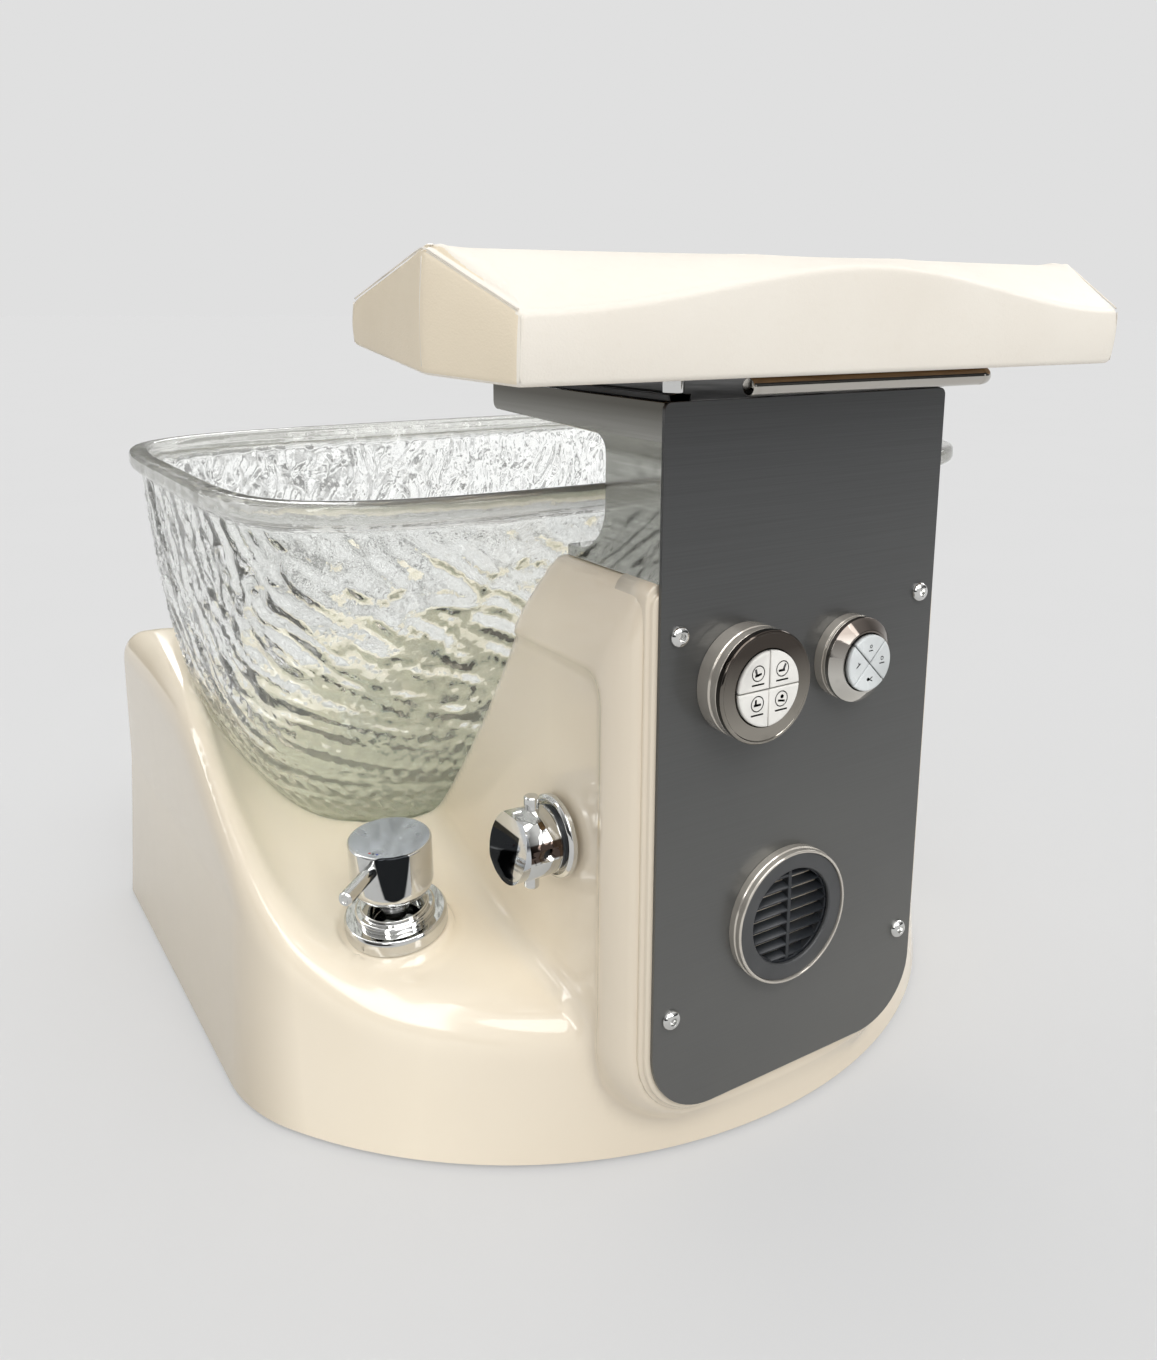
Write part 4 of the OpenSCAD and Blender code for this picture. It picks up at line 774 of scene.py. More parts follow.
def surface_net(field, low, high, step):
    """Quads over the zero surface of a distance field."""
    axes = [np.arange(a, b + step, step) for a, b in zip(low, high)]
    grid = np.stack(np.meshgrid(*axes, indexing="ij"), -1)
    value = np.stack([field(slab) for slab in grid])
    inside = value < 0
    cells = [s - 1 for s in value.shape]
    total, count = np.zeros((*cells, 3)), np.zeros(cells)
    corner = lambda a, o: a[o[0]:o[0] + cells[0], o[1]:o[1] + cells[1], o[2]:o[2] + cells[2]]
    for axis in range(3):
        for i in (0, 1):
            for j in (0, 1):
                o = [i, j]
                o.insert(axis, 0)
                q = list(o)
                q[axis] = 1
                a, b = corner(value, o), corner(value, q)
                cut = corner(inside, o) != corner(inside, q)
                share = np.where(cut, a / np.where(cut, a - b, 1), 0)
                point = np.array(o, float) + share[..., None] * np.eye(3)[axis]
                total += np.where(cut[..., None], point, 0)
                count += cut
    held = count > 0
    index = np.full(cells, -1)
    index[held] = np.arange(held.sum())
    where = np.argwhere(held)
    verts = (where + total[held] / count[held][:, None]) * step + np.array([a[0] for a in axes])
    faces = []
    for axis in range(3):
        a = np.take(inside, range(value.shape[axis] - 1), axis)
        b = np.take(inside, range(1, value.shape[axis]), axis)
        cut = np.argwhere(a != b)
        u, v = [k for k in range(3) if k != axis]
        cut = cut[(cut[:, u] > 0) & (cut[:, v] > 0) & (cut[:, u] < cells[u]) & (cut[:, v] < cells[v])]
        quad = []
        for du, dv in ((1, 1), (0, 1), (0, 0), (1, 0)):
            c = cut.copy()
            c[:, u] -= du
            c[:, v] -= dv
            quad.append(index[c[:, 0], c[:, 1], c[:, 2]])
        faces.append(np.stack(quad, 1))
    return verts, np.concatenate(faces)


def settle(points, field, reach, rounds=4):
    """Moves points onto the zero surface."""
    h = 0.0004
    for _ in range(rounds):
        value = field(points)
        slope = np.stack([(field(points + h * e) - field(points - h * e)) / (2 * h) for e in np.eye(3)], -1)
        move_by = -value[:, None] * slope / np.maximum((slope ** 2).sum(-1, keepdims=True), 0.05)
        size = np.linalg.norm(move_by, axis=1, keepdims=True)
        points = points + move_by * np.minimum(1, reach / np.maximum(size, 1e-12))
    return points


def relax(points, faces, field, reach, rounds=3):
    """Evens out the net without leaving the surface."""
    for _ in range(rounds):
        total, count = np.zeros_like(points), np.zeros(len(points))
        for i in range(4):
            a, b = faces[:, i], faces[:, (i + 1) % 4]
            np.add.at(total, a, points[b])
            np.add.at(count, a, 1)
            np.add.at(total, b, points[a])
            np.add.at(count, b, 1)
        points = lerp(points, total / count[:, None], 0.5)
        points = settle(points, field, reach, 2)
    return points


def skin(name, field, step):
    """Mesh over a distance field, open at the floor."""
    low = (-BASE_W / 2 - 0.02, FACE_Y - 0.012, -2 * step)
    high = (BASE_W / 2 + 0.02, FACE_Y + BASE_D + 0.02, TOWER_H + 0.02)
    points, faces = surface_net(field, low, high, step)
    points = settle(points, field, step)
    points = relax(points, faces, field, step)
    piece = mesh_piece(name, points, faces)
    with editing(piece.data) as bm:
        bmesh.ops.bisect_plane(bm, geom=everything(bm), dist=1e-7, plane_co=(0, 0, FLOOR_Z + FOOT_GAP),
                               plane_no=(0, 0, 1), clear_inner=True)
    return piece


NET, QUICK_NET, LINING_NET = 0.0052, 0.009, 0.0125              # mesh widths


def moulded_base():
    """Outer skin and lining, joined along the floor."""
    outside = skin("moulded_base", base_field, NET)
    lining = skin("base_lining", lambda p: base_field(p, SKIN), LINING_NET)
    with editing(outside.data) as bm:
        edges = {e for e in bm.edges if e.is_boundary}
        count = len(bm.verts)
        bm.from_mesh(lining.data)
        bm.verts.ensure_lookup_table()
        bm.verts.index_update()
        bmesh.ops.reverse_faces(bm, faces=[f for f in bm.faces if f.verts[0].index >= count])
        edges |= {e for e in bm.edges if e.is_boundary}
        bmesh.ops.bridge_loops(bm, edges=list(edges))
        for face in bm.faces:
            face.smooth = True
        for edge in edges:
            edge.smooth = False
    bpy.data.objects.remove(lining)
    return outside


PANEL = dict(w=240, z0=42.5, top=TOP_Z, rb=50, rt=5, t=3)
BORDER = 7


def corner(cx, cy, r, a0, a1, n):
    return [(cx + r * math.cos(math.radians(lerp(a0, a1, i / n))),
             cy + r * math.sin(math.radians(lerp(a0, a1, i / n)))) for i in range(n + 1)]


def panel_outline(grow, top, n=14):
    """Outline of the panel in millimetres, grown all round: round below, nearly square above."""
    half = PANEL["w"] / 2
    right = (corner(half - PANEL["rb"], PANEL["z0"] + PANEL["rb"], PANEL["rb"] + grow, -90, 0, n)
             + corner(half - PANEL["rt"], top - PANEL["rt"], PANEL["rt"] + grow, 0, 90, 5))
    return right + [(-x, z) for x, z in reversed(right)]


def plinth_border():
    """Stepped edge of the moulding round the lower part of the panel."""
    top = TOWER_H * 1000 - PANEL["rt"] - BORDER
    steps = [(1.0, 3.0), (3.4, 3.0), (4.0, 3.6), (4.0, 5.2), (4.6, 5.9), (6.2, 6.0), (6.8, 6.5), (7.0, 7.4),
             (7.0, 40)]
    loops = [[(x, y, z) for x, z in panel_outline(g, top + g)] for g, y in steps]
    return mesh_piece("plinth_border", *lofted(loops), SHOP)


# ---------- glass bowl ----------

RIM_T = 0.0155
RIM_SHAPE = [(0.05, 0.0, RIM_T + 0.004), (0.0, 0.0015, RIM_T + 0.0005), (0.0, 0.0040, RIM_T - 0.0005),
             (0.0, 0.0060, RIM_T - 0.0025), (0.0, 0.0070, RIM_T - 0.0055), (0.0, 0.0068, 0.0035),
             (0.0, 0.0056, 0.0014), (0.0, 0.0036, 0.0003), (0.0, 0.0010, 0.0), (0.0, -0.0030, 0.0),
             (0.0, -0.0060, 0.0005), (0.0, -0.0080, 0.0020), (0.0, -0.0090, 0.0045)]
FOOT_R, COVE_R = 0.012, 0.016                  # roundings at the foot of the outer and of the inner wall
HAMMER = {"wall": (0.0019, 0.0), "inside": (-0.0032, 4.2)}     # depth of the relief, shift of its pattern
BUBBLES = 420
CLEAR_WALL, CLEAR_DRAIN, CLEAR_FACE = 0.026, 0.016, 0.003      # what the bubbles keep off


def bowl_loop(f, grow, count):
    a, b, mid, n = (float(v) for v in bowl_sizes(np.float64(f)))
    t = 2 * np.pi * (np.arange(count) + 0.5) / count
    t = t - 0.09 * np.sin(4 * t)                  # draws the points towards the corners
    c, s = np.cos(t), np.sin(t)
    e = 2 / n
    return np.stack([(a + grow) * np.sign(c) * np.abs(c) ** e,
                     FACE_Y + mid + (b + grow) * np.sign(s) * np.abs(s) ** e], -1)


def evened(loop):
    """Spreads the points of a closed loop at equal steps."""
    ring = np.vstack([loop, loop[:1]])
    run = np.concatenate([[0], np.cumsum(np.linalg.norm(np.diff(ring, axis=0), axis=1))])
    want = np.linspace(0, run[-1], len(loop), endpoint=False)
    return np.stack([np.interp(want, run, ring[:, k]) for k in range(2)], -1)


def outward_of(points):
    """Direction outwards in plan at each point of a closed loop."""
    ahead = np.roll(points[:, :2], -1, 0) - np.roll(points[:, :2], 1, 0)
    ahead /= np.linalg.norm(ahead, axis=1, keepdims=True)
    return np.stack([ahead[:, 1], -ahead[:, 0]], -1)


def hammer(x, y):
    """Relief of the hammered glass at a place round and down the wall, from -1 to 1."""
    warp = 0.9 * noise.noise((x * 22, y * 18, 3.1))
    warp_y = 0.9 * noise.noise((x * 20, y * 22, 9.7))
    a = noise.noise((x * 74 + warp * 1.6 + y * 14, y * 36 + warp_y * 1.4, 1.7))
    b = noise.noise((x * 120 + warp * 2.2, y * 60 + warp_y * 2.2, 5.3))
    return 1.0 - 2.4 * abs(a) + 0.6 * (1 - 2.4 * abs(b)) - 0.4


def glass_basin():
    """The bowl, ring by ring from the drain's hole below, over the rim, to the drain's hole inside."""
    count, down = ((520, 76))
    shares = [k / down for k in range(down + 1)]
    arc = [math.pi / 2 * k / 4 for k in range(5)]
    deep_in, floor_z = BOWL_DEEP - GLASS_FLOOR, BOWL_FOOT + GLASS_FLOOR
    rings = [("floor", f, -FOOT_R, BOWL_FOOT) for f in (0, 0.25, 0.5, 0.75, 0.9)]
    rings += [("foot", 1.0, -FOOT_R * (1 - math.sin(a)), BOWL_FOOT + FOOT_R * (1 - math.cos(a))) for a in arc]
    rings += [("wall", f, 0.0, BOWL_TOP - BOWL_DEEP * f)
              for f in reversed(shares) if 0.06 < f < 1 - FOOT_R / BOWL_DEEP - 0.005]
    rings += [("rim", f, grow, BOWL_TOP - drop) for f, grow, drop in RIM_SHAPE]
    rings += [("inside", f, -GLASS_T, BOWL_TOP - deep_in * f)
              for f in shares if 0.045 < f < 1 - COVE_R / deep_in - 0.005]
    rings += [("cove", 1.0, -GLASS_T - COVE_R * (1 - math.cos(a)), floor_z + COVE_R * (1 - math.sin(a)))
              for a in arc]
    rings += [("floor", f, -GLASS_T - COVE_R, floor_z) for f in (0.9, 0.75, 0.5, 0.25, 0)]

    angles = 2 * np.pi * np.arange(count) / count
    hole = np.stack([DRAIN.x + DRAIN_R * np.cos(angles), DRAIN.y + DRAIN_R * np.sin(angles)], -1)
    seam = np.clip(np.minimum(np.arange(count), count - np.arange(count)) / 12.0, 0, 1)
    loops = []
    for kind, f, grow, z in rings:
        loop = evened(bowl_loop(1.0 if kind == "floor" else f, grow, count))
        if kind == "floor":
            loop = lerp(hole, loop, f)
        if kind in HAMMER:
            deep, shift = HAMMER[kind]
            run = np.concatenate([[0], np.cumsum(np.linalg.norm(np.diff(loop, axis=0), axis=1))])
            fade = min(1.0, (f - 0.045) / 0.05) * min(1.0, max(0.0, (0.94 - f) / 0.08))
            lift = seam * np.array([hammer(at + shift, z + 0.3 * shift) for at in run])
            loop = loop + outward_of(loop) * (lift * deep * max(fade, 0))[:, None]
        loops.append([(x, y, z) for x, y in loop])
    return mesh_piece("glass_basin", *lofted(loops + loops[:1], caps=(False, False)))


def glass_bubbles():
    """Small air bubbles caught in the bowl's floor."""
    rng = random.Random(11)
    half_x, half_y, mid, _ = (float(v) for v in bowl_sizes(np.float64(1.0)))
    points, sizes = [], []
    while len(points) < BUBBLES:
        a, b = rng.uniform(-1, 1), rng.uniform(-1, 1)
        if abs(a) ** 3 + abs(b) ** 3 > 0.92:
            continue
        x, y = a * (half_x - CLEAR_WALL), FACE_Y + mid + b * (half_y - CLEAR_WALL)
        if math.hypot(x - DRAIN.x, y - DRAIN.y) < DRAIN_R + CLEAR_DRAIN:
            continue
        points.append((x, y, BOWL_FOOT + rng.uniform(CLEAR_FACE, GLASS_FLOOR - CLEAR_FACE)))
        sizes.append(rng.random())
    g = Growth("bubbles", Smallest=0.0004, Largest=0.0018)
    ball = g.add("GeometryNodeMeshIcoSphere", inputs={"Radius": 1.0, "Subdivisions": 2}).outputs[0]
    spread = g.maths("POWER", g.held("size", "FLOAT"), 2.5)
    reach = g.maths("SUBTRACT", "Largest", "Smallest")
    scale = g.maths("ADD", g.maths("MULTIPLY", spread, reach), "Smallest")
    return g.grow("glass_bubbles", points_mesh("bubble_places", points, size=sizes), "bubble",
                  g.set_on_points(ball, Scale=scale))


# ---------- panel, screws and column ----------

def hole_outline(radius, cx, cz, count=96):
    angles = [2 * math.pi * i / count for i in range(count)]
    return [(cx + radius * math.cos(a), cz + radius * math.sin(a)) for a in angles]


CHAIR = dict(x=-54.6, z=342.8, r=37.1, key=24.6, out=23.8, key_out=3, slope=0, a0=45)
JET = dict(x=37, z=342.8, r=29.3, key=19.3, out=19, key_out=4, slope=4, a0=0)
VENT = dict(x=-9.8, z=165.9, r=48.8, dark=46, hole=34.5, out=10, slats=8)
KEY_T = 5
KEY_GAP = 0.8
KEY_DOME = 0.45                                # the key's face lies this far below its highest point
TO_FRONT = turn("X", 90)                       # turned parts point out of the panel
SCREW_X, SCREW_Z = 106, (117, 378)


def control_panel():
    """Flat plate with broken edges and the vent's hole."""
    edge, middle = 0.35, PANEL["t"] / 2
    outlines = panel_outline(0, PANEL["top"]), hole_outline(VENT["hole"] + 4, VENT["x"], VENT["z"])
    piece = bent("control_panel", [([(x, z, 0) for x, z in points], True) for points in outlines],
                 dimensions="2D", fill_mode="BOTH", extrude=middle - edge, bevel_depth=edge,
                 bevel_resolution=2, offset=-edge)
    tidy_mesh(piece.data, SHOP @ move(0, middle, 0) @ turn("X", 90), weld=1e-5)
    return shaded(piece)


def panel_bolts():
    """Four button heads with hexagon sockets."""
    profile = [(0, 1.2), (2.31, 1.2), (2.31, 3.7), (3.6, 4.0), (5.2, 3.45), (6.4, 2.3), (6.95, 1.0),
               (7.0, 0.0), (4.0, 0.0), (4.0, -6.0), (0, -6.0)]
    head = bored(mesh_piece("bolt_head", *lathe(profile, 48)),
                 mesh_piece("bolt_socket", *lathe([(0, 1.0), (2.9, 1.0), (2.9, 6.0), (0, 6.0)], 6)))
    places = [(s * SCREW_X, 0, z) for s in (-1, 1) for z in SCREW_Z]
    turns = [(math.pi / 2, t, 0) for t in (0.3, 1.1, 0.7, 0.15)]
    return repeated("panel_bolts", edged(head, 0.18, 2, 40), "chrome", SHOP, places, turns)


# ---------- controls ----------

def control_rings(name, c):
    """Two stacked rings with a groove between them."""
    out = c["out"] - c["slope"]
    r, key = c["r"], c["key"]
    profile = [(key - 5, 0.0), (r, 0.0), (r, out * 0.47), (r - 1.0, out * 0.49), (r - 1.0, out * 0.53),
               (r, out * 0.55), (r, out - 5), (key + 3, out - 5), (key + 3, 4), (key - 5, 4)]
    return turned(name, profile, move(c["x"], 0, c["z"]) @ TO_FRONT, 0.7)


def control_face(name, c):
    """Front ring that frames the keys, with a thin raised rim."""
    out, r, key, slope = c["out"], c["r"], c["key"], c["slope"]
    inner = key + KEY_GAP
    if slope:
        profile = [(inner, out - 5 - slope), (inner, out), (inner + 1.6, out), (r - 2.2, out - slope),
                   (r, out - slope - 1.8), (r, out - slope - 5)]
    else:
        profile = [(inner, out - 5), (inner, out - 0.2), (inner + 1.0, out), (r - 2.6, out - 0.5),
                   (r - 2.1, out), (r - 0.9, out), (r, out - 0.9), (r, out - 5)]
    return turned(name, profile, move(c["x"], 0, c["z"]) @ TO_FRONT, 0.3)


def disc(x, y, radius, hole=0.0, count=28):
    """A flat round or ring-shaped mark."""
    angles = [2 * math.pi * i / count for i in range(count + 1)]
    verts = [(x + r * math.cos(a), y + r * math.sin(a), 0) for a in angles for r in (hole, radius)]
    return verts, [(2 * i, 2 * i + 1, 2 * i + 3, 2 * i + 2) for i in range(count)]


def bar(x, y, long, wide, angle=0):
    """A flat straight mark."""
    c, s = math.cos(math.radians(angle)) / 2, math.sin(math.radians(angle)) / 2
    ends = [(-long, -wide), (long, -wide), (long, wide), (-long, wide)]
    return [(x + u * c - v * s, y + u * s + v * c, 0) for u, v in ends], [(0, 1, 2, 3)]


# generic signs on the keys, with y pointing up and the mark's own size as the unit
RING_AND_DASH = [(disc, 0, .35, 1, .86), (bar, 0, -1.02, 1.9, .22)]
CHAIR_MARKS = [RING_AND_DASH + signs for signs in (
    [(bar, -.1, .15, 1.0, .3), (bar, .3, .55, .8, .3, 65)],
    [(bar, 0, .15, 1.0, .3, 12), (bar, -.35, .6, .7, .3, 105)],
    [(bar, 0, .2, 1.1, .3), (bar, -.25, .6, .6, .3, 90)],
    [(bar, 0, .1, 1.1, .26, -10), (disc, .1, .6, .26)])]
JET_MARKS = [
    [(disc, 0, .5, .34, .2), (bar, 0, -.3, 1.1, .2)],
    [(disc, 0, .2, .3, .16), (bar, 0, -.5, .9, .18)],
    [(bar, 0, 0, 1.1, .22, 38), (bar, .1, .3, .5, .2, -50)],
    [(disc, -.3, 0, .3), (bar, .25, .1, .9, .18, 25), (bar, .25, -.2, .9, .18, -25)]]
MARK_SIZE, MARK_T = 0.215, 0.0001              # share of the key's radius, and thickness of the print


def wedge_outline(radius, gap, count=30):
    """Quarter of a disc with its straight sides drawn in by half the gap and its corners eased."""
    g = gap / 2
    a = math.degrees(math.asin(g / radius))
    points = [(radius * math.cos(math.radians(t)), radius * math.sin(math.radians(t)))
              for t in np.linspace(a, 90 - a, count)]
    return points + [(g, g)]


def key(name, c, i, finish, marks):
    """One quarter key with a softly domed face and a printed mark."""
    face = c["out"] + c["key_out"]
    steps = [(0.0, KEY_T), (0.0, 1.7), (0.12, 1.1), (0.45, 0.72), (1.0, 0.52), (1.6, KEY_DOME)]
    loops = [[(x, y, face - down) for x, y in wedge_outline(c["key"] - g, KEY_GAP + 2 * g)]
             for g, down in steps]
    angle = c["a0"] + 90 * i - 45
    spun = SHOP @ move(c["x"], 0, c["z"]) @ TO_FRONT @ turn("Z", angle)
    middle = c["key"] * 0.40
    printed = (spun @ move(middle, middle, face - KEY_DOME) @ turn("Z", -angle)
               @ Matrix.Scale(c["key"] * MARK_SIZE, 4))
    pieces = [dressed(shaded(mesh_piece(name + "_cap", *lofted(loops), spun)), finish)]
    for k, (shape, *sizes) in enumerate(marks):
        pieces.append(dressed(mesh_piece(name + "_mark%d" % k, *shape(*sizes), printed), "ink"))
        with editing(pieces[-1].data) as bm:
            bmesh.ops.solidify(bm, geom=list(bm.faces), thickness=MARK_T)
            bmesh.ops.recalc_face_normals(bm, faces=bm.faces)
    return joined(name, pieces)


# ---------- vent ----------

AT_VENT = move(VENT["x"], 0, VENT["z"]) @ TO_FRONT


def vent_parts():
    """Outer ring and dark collar."""
    r, dark, hole, out = VENT["r"], VENT["dark"], VENT["hole"], VENT["out"]
    duct = hole + 4
    ring = turned("vent_rim", [(duct + 1, 0), (r, 0), (r, out * 0.5), (r - 0.8, out * 0.58),
                               (r - 0.8, out - 0.6), (r - 1.6, out), (dark + 0.3, out), (dark, out - 0.5),
                               (dark, 3), (duct + 1, 3)], AT_VENT, 0.35)
    bezel = turned("vent_collar", [(duct - 1, -8.8), (duct, -8.8), (duct, 3.05), (dark - 0.1, 3.05),
                                   (dark - 0.1, out - 1.5), (hole + 0.8, out - 1.2), (hole, out - 2.2),
                                   (hole, out - 4), (duct - 1, out - 5)], AT_VENT, 0.3)
    return ring, bezel


def louvre_blade(half_long, deep, thick):
    """A blade with rounded edges, along X."""
    outline = (corner(deep / 2 - thick / 2, 0, thick / 2, -90, 90, 5)
               + corner(-deep / 2 + thick / 2, 0, thick / 2, 90, 270, 5))
    loops = [[(x, p, q) for p, q in outline] for x in (-half_long, half_long)]
    return mesh_piece("louvre_blade", *lofted(loops))


def vent_louvre():
    """Slanted blades behind one upright rib, held in a short tube."""
    hole, count, front = VENT["hole"], VENT["slats"], VENT["out"] - 5
    duct, middle, pitch = hole + 3, 8 - VENT["out"], 2 * hole / count
    heights = [pitch * (i + 0.5) - hole for i in range(count)]
    blades = repeated("louvre_blades", louvre_blade(1.0, 7.0, 1.9), "louvre", SHOP,
                      [(VENT["x"], middle, VENT["z"] + h) for h in heights],
                      [(math.radians(25), 0, 0)] * count,
                      [(math.sqrt(max(duct ** 2 - h * h, 1)), 1, 1) for h in heights])
    tube = turned("louvre_tube", [(hole - 1, -2), (duct, -2), (duct, front), (hole - 1, front)], AT_VENT,
                  0.3, 96)
    section = ((-1.5, -3.2), (1.5, -3.2), (1.5, 3.5), (-1.5, 3.5))
    rib = mesh_piece("louvre_rib", *lofted([[(x, y, z) for x, y in section] for z in (-duct, duct)]),
                     SHOP @ move(VENT["x"], middle, VENT["z"]))
    return joined("vent_louvre", [dressed(tube, "louvre"), blades, dressed(edged(rib, 0.4 * MM), "louvre")])


# ---------- mixer tap ----------

MIXER = dict(r=30, h=43.5, hinge=28, lift=6, pin_r=5.25, pin=36, plate=37.5, plate_h=12)
AT_HANDLE = AT_TAP @ move(0, 0, MIXER["hinge"]) @ turn("Y", -MIXER["lift"])


def tap_parts():
    """Flange, neck, handle with its printed dots, and the pin that sticks out of it."""
    r, h, pin_r, pin, wide, top = (MIXER[k] for k in ("r", "h", "pin_r", "pin", "plate", "plate_h"))
    plate = turned("tap_flange", [(22, 0), (wide, 0), (wide, top - 2.5), (wide - 1.5, top), (22, top)],
                   AT_TAP, 0.7)
    neck = turned("tap_neck", [(11.05, 1), (21.8, 1), (21.8, top), (29, top), (29, top + 3.6),
                               (27.6, top + 5), (24.5, top + 5), (24.5, top + 8), (11.05, top + 8)],
                  AT_TAP, 0.5)
    profile = [(0, 13), (19, 13), (19, 0), (r - 9, 0), (r - 5.6, 1.4), (r - 2.8, 4.0), (r - 0.9, 7.6),
               (r, 12.0), (r, h - 1.2), (r - 1.2, h), (0, h)]
    cap = edged(mesh_piece("tap_cap", *lathe(profile, 160)), 0.6, 3)
    tidy_mesh(cap.data, SHOP @ AT_HANDLE)
    # the handle's chrome carries a painted dark reflection band
    cap = dressed(shaded(cap), "painted_reflection_band")
    axis = ((SHOP @ AT_HANDLE).to_3x3() @ Vector((0, 0, 1))).normalized()
    refinished(cap, "cap_top", lambda face: face.normal.dot(axis) > 0.99)
    dot = lathe([(0, h + 0.02), (0.8, h + 0.02), (0.8, h + 0.12), (0, h + 0.12)], 16)
    dots = [dressed(mesh_piece("tap_dot%d" % k, *dot,
                               SHOP @ AT_HANDLE @ turn("Z", angle) @ move(r - 6, 0, 0)), ink)
            for k, (angle, ink) in enumerate(((-7, "hot"), (0, "ink"), (7, "cold")))]
    cap = joined("tap_cap", [cap] + dots)
    lever = turned("tap_pin", [(0, -13), (3.75, -13), (3.75, 0.0), (pin_r - 0.5, 0.0), (pin_r, 0.6),
                               (pin_r, pin - 1.4), (pin_r - 1.0, pin), (2.6, pin), (2.2, pin - 0.7),
                               (0, pin - 0.7)],
                   AT_HANDLE @ move(r - 0.6, 0, h - 11) @ turn("Y", 90), 0.3, 64)
    return plate, neck, cap, lever


# ---------- diverter ----------

DIVERTER = dict(y=84, z=222.5, r=28.5, out=40, knob=24, plane=19)
SLANT = math.radians(12)                       # of the cap's face
AT_DIVERTER = move(-FLANK_X * 1000, DIVERTER["y"], DIVERTER["z"]) @ turn("Y", -90)


def diverter_parts():
    """Flange, neck, knob with its grip pins and the slanted cap in front of it."""
    r, out, wide, plane = (DIVERTER[k] for k in ("r", "out", "knob", "plane"))
    end = out - 7
    plate = turned("diverter_flange", [(13.2, 0), (r, 0), (r, 3.4), (r - 0.6, 4.3), (r - 2.4, 5.5),
                                       (13.2, 5.5)], AT_DIVERTER, 0.35)
    collar = turned("diverter_neck", [(0, 5.5), (wide - 2, 5.5), (wide - 2, 7.5), (10, 7.5), (10, 11),
                                      (6, 11), (6, end - 6), (0, end - 6)], AT_DIVERTER, 0.2, 96)
    barrel = mesh_piece("diverter_barrel", *lathe([(6.05, 11.5), (10.5, 11.5), (10.5, 8), (wide - 0.8, 8),
                                                   (wide, 8.8), (wide, end), (6.05, end)], 128))
    dimple = mesh_piece("diverter_dimple", *lathe([(0, 0), (4.6, 0), (4.6, 14), (0, 14)], 40),
                        turn("Z", -90) @ move(wide - 6, 0, plane) @ turn("Y", 90))
    barrel = edged(bored(barrel, dimple), 0.35)
    tidy_mesh(barrel.data, SHOP @ AT_DIVERTER)
    pin = mesh_piece("diverter_pin", *lathe([(0, 0), (5.2, 0), (5.2, 13.8), (4.4, 15.0), (0, 15.0)], 48))
    angles = [math.radians(a) for a in (0, 90, 180)]
    pins = repeated("diverter_pins", edged(pin, 0.3), "chrome", SHOP @ AT_DIVERTER,
                    [((wide - 6) * math.cos(a), (wide - 6) * math.sin(a), plane) for a in angles],
                    [(0, math.pi / 2, a) for a in angles])
    # painted shade: a black disc at the bottom of the hole in the knob's side
    hole = turned("diverter_hole", [(0, 0), (3.4, 0), (3.4, 1.2), (0, 1.2)],
                  AT_DIVERTER @ turn("Z", -90) @ move(wide - 6.1, 0, plane) @ turn("Y", 90), 0.2, 40)
    # the knob's barrel carries a painted dark reflection band
    knob = joined("diverter_grip", [dressed(barrel, "painted_reflection_belt"), dressed(pins, "chrome"),
                                    dressed(hole, "black")])
    cap = mesh_piece("diverter_front", *lathe([(0, end), (wide, end), (wide, out), (0, out)], 128))
    slant = Vector((math.sin(SLANT), 0, math.cos(SLANT)))
    with editing(cap.data) as bm:
        made = bmesh.ops.bisect_plane(bm, geom=everything(bm), clear_outer=True, plane_no=slant,
                                      plane_co=Vector((0, 0, end)) + slant * (out - end) * 0.6)
        rim = [e for e in made["geom_cut"] if isinstance(e, bmesh.types.BMEdge)]
        bmesh.ops.contextual_create(bm, geom=rim)
    cap = edged(cap, 0.5, 3)
    tidy_mesh(cap.data, SHOP @ AT_DIVERTER)
    return plate, collar, knob, shaded(cap)


# ---------- footrest ----------

PAD = dict(edge=482, long=530, deep=217, ridge_v=61, ridge_h=66, front=(38, 64), rear=(29, 52), tilt=3.63,
           out=42.5, z=536)
ROLL, TUCK, SWELL = 5.0, 4.0, 1.3              # roundings of the top and bottom edges, bulge of the walls
AT_PAD = move(0, -PAD["out"], PAD["z"]) @ turn("X", PAD["tilt"])


def pad_rim(step=2.4):
    """Points round the pad, paired across the ridge: place, top edge's height, side (1 for an end)."""
    p = PAD
    half, tip = p["edge"] / 2, p["long"] / 2
    nx = 2 * round(half / step)
    ne = round(math.hypot(tip - half, p["ridge_v"]) / step) + 8
    front, rear = (half, 0.0, p["front"][0]), (half, p["deep"], p["rear"][0])
    peak = (tip, p["ridge_v"], p["ridge_h"])
    across = [lerp(-half, half, i / nx) for i in range(nx + 1)]

    def edge(x, low, high):
        return low + (high - low) * math.cos(math.pi / 2 * x / half) ** 2

    def end(side, a, b):
        return [(side * lerp(a[0], b[0], t), lerp(a[1], b[1], t), lerp(a[2], b[2], t), 1)
                for t in (i / ne for i in range(1, ne + 1))]

    return ([(x, 0.0, edge(x, *p["front"]), 0) for x in across] + end(1, front, peak) + end(1, peak, rear)
            + [(-x, p["deep"], edge(x, *p["rear"]), 2) for x in across[1:]] + end(-1, rear, peak)
            + end(-1, peak, front)[:-1])


def eased_rim(rim, rounds=3):
    """Softens the corners of the plan and of the top edge a little."""
    points = np.array([r[:3] for r in rim], float)
    for _ in range(rounds):
        points = 0.5 * points + 0.25 * (np.roll(points, 1, 0) + np.roll(points, -1, 0))
    return points


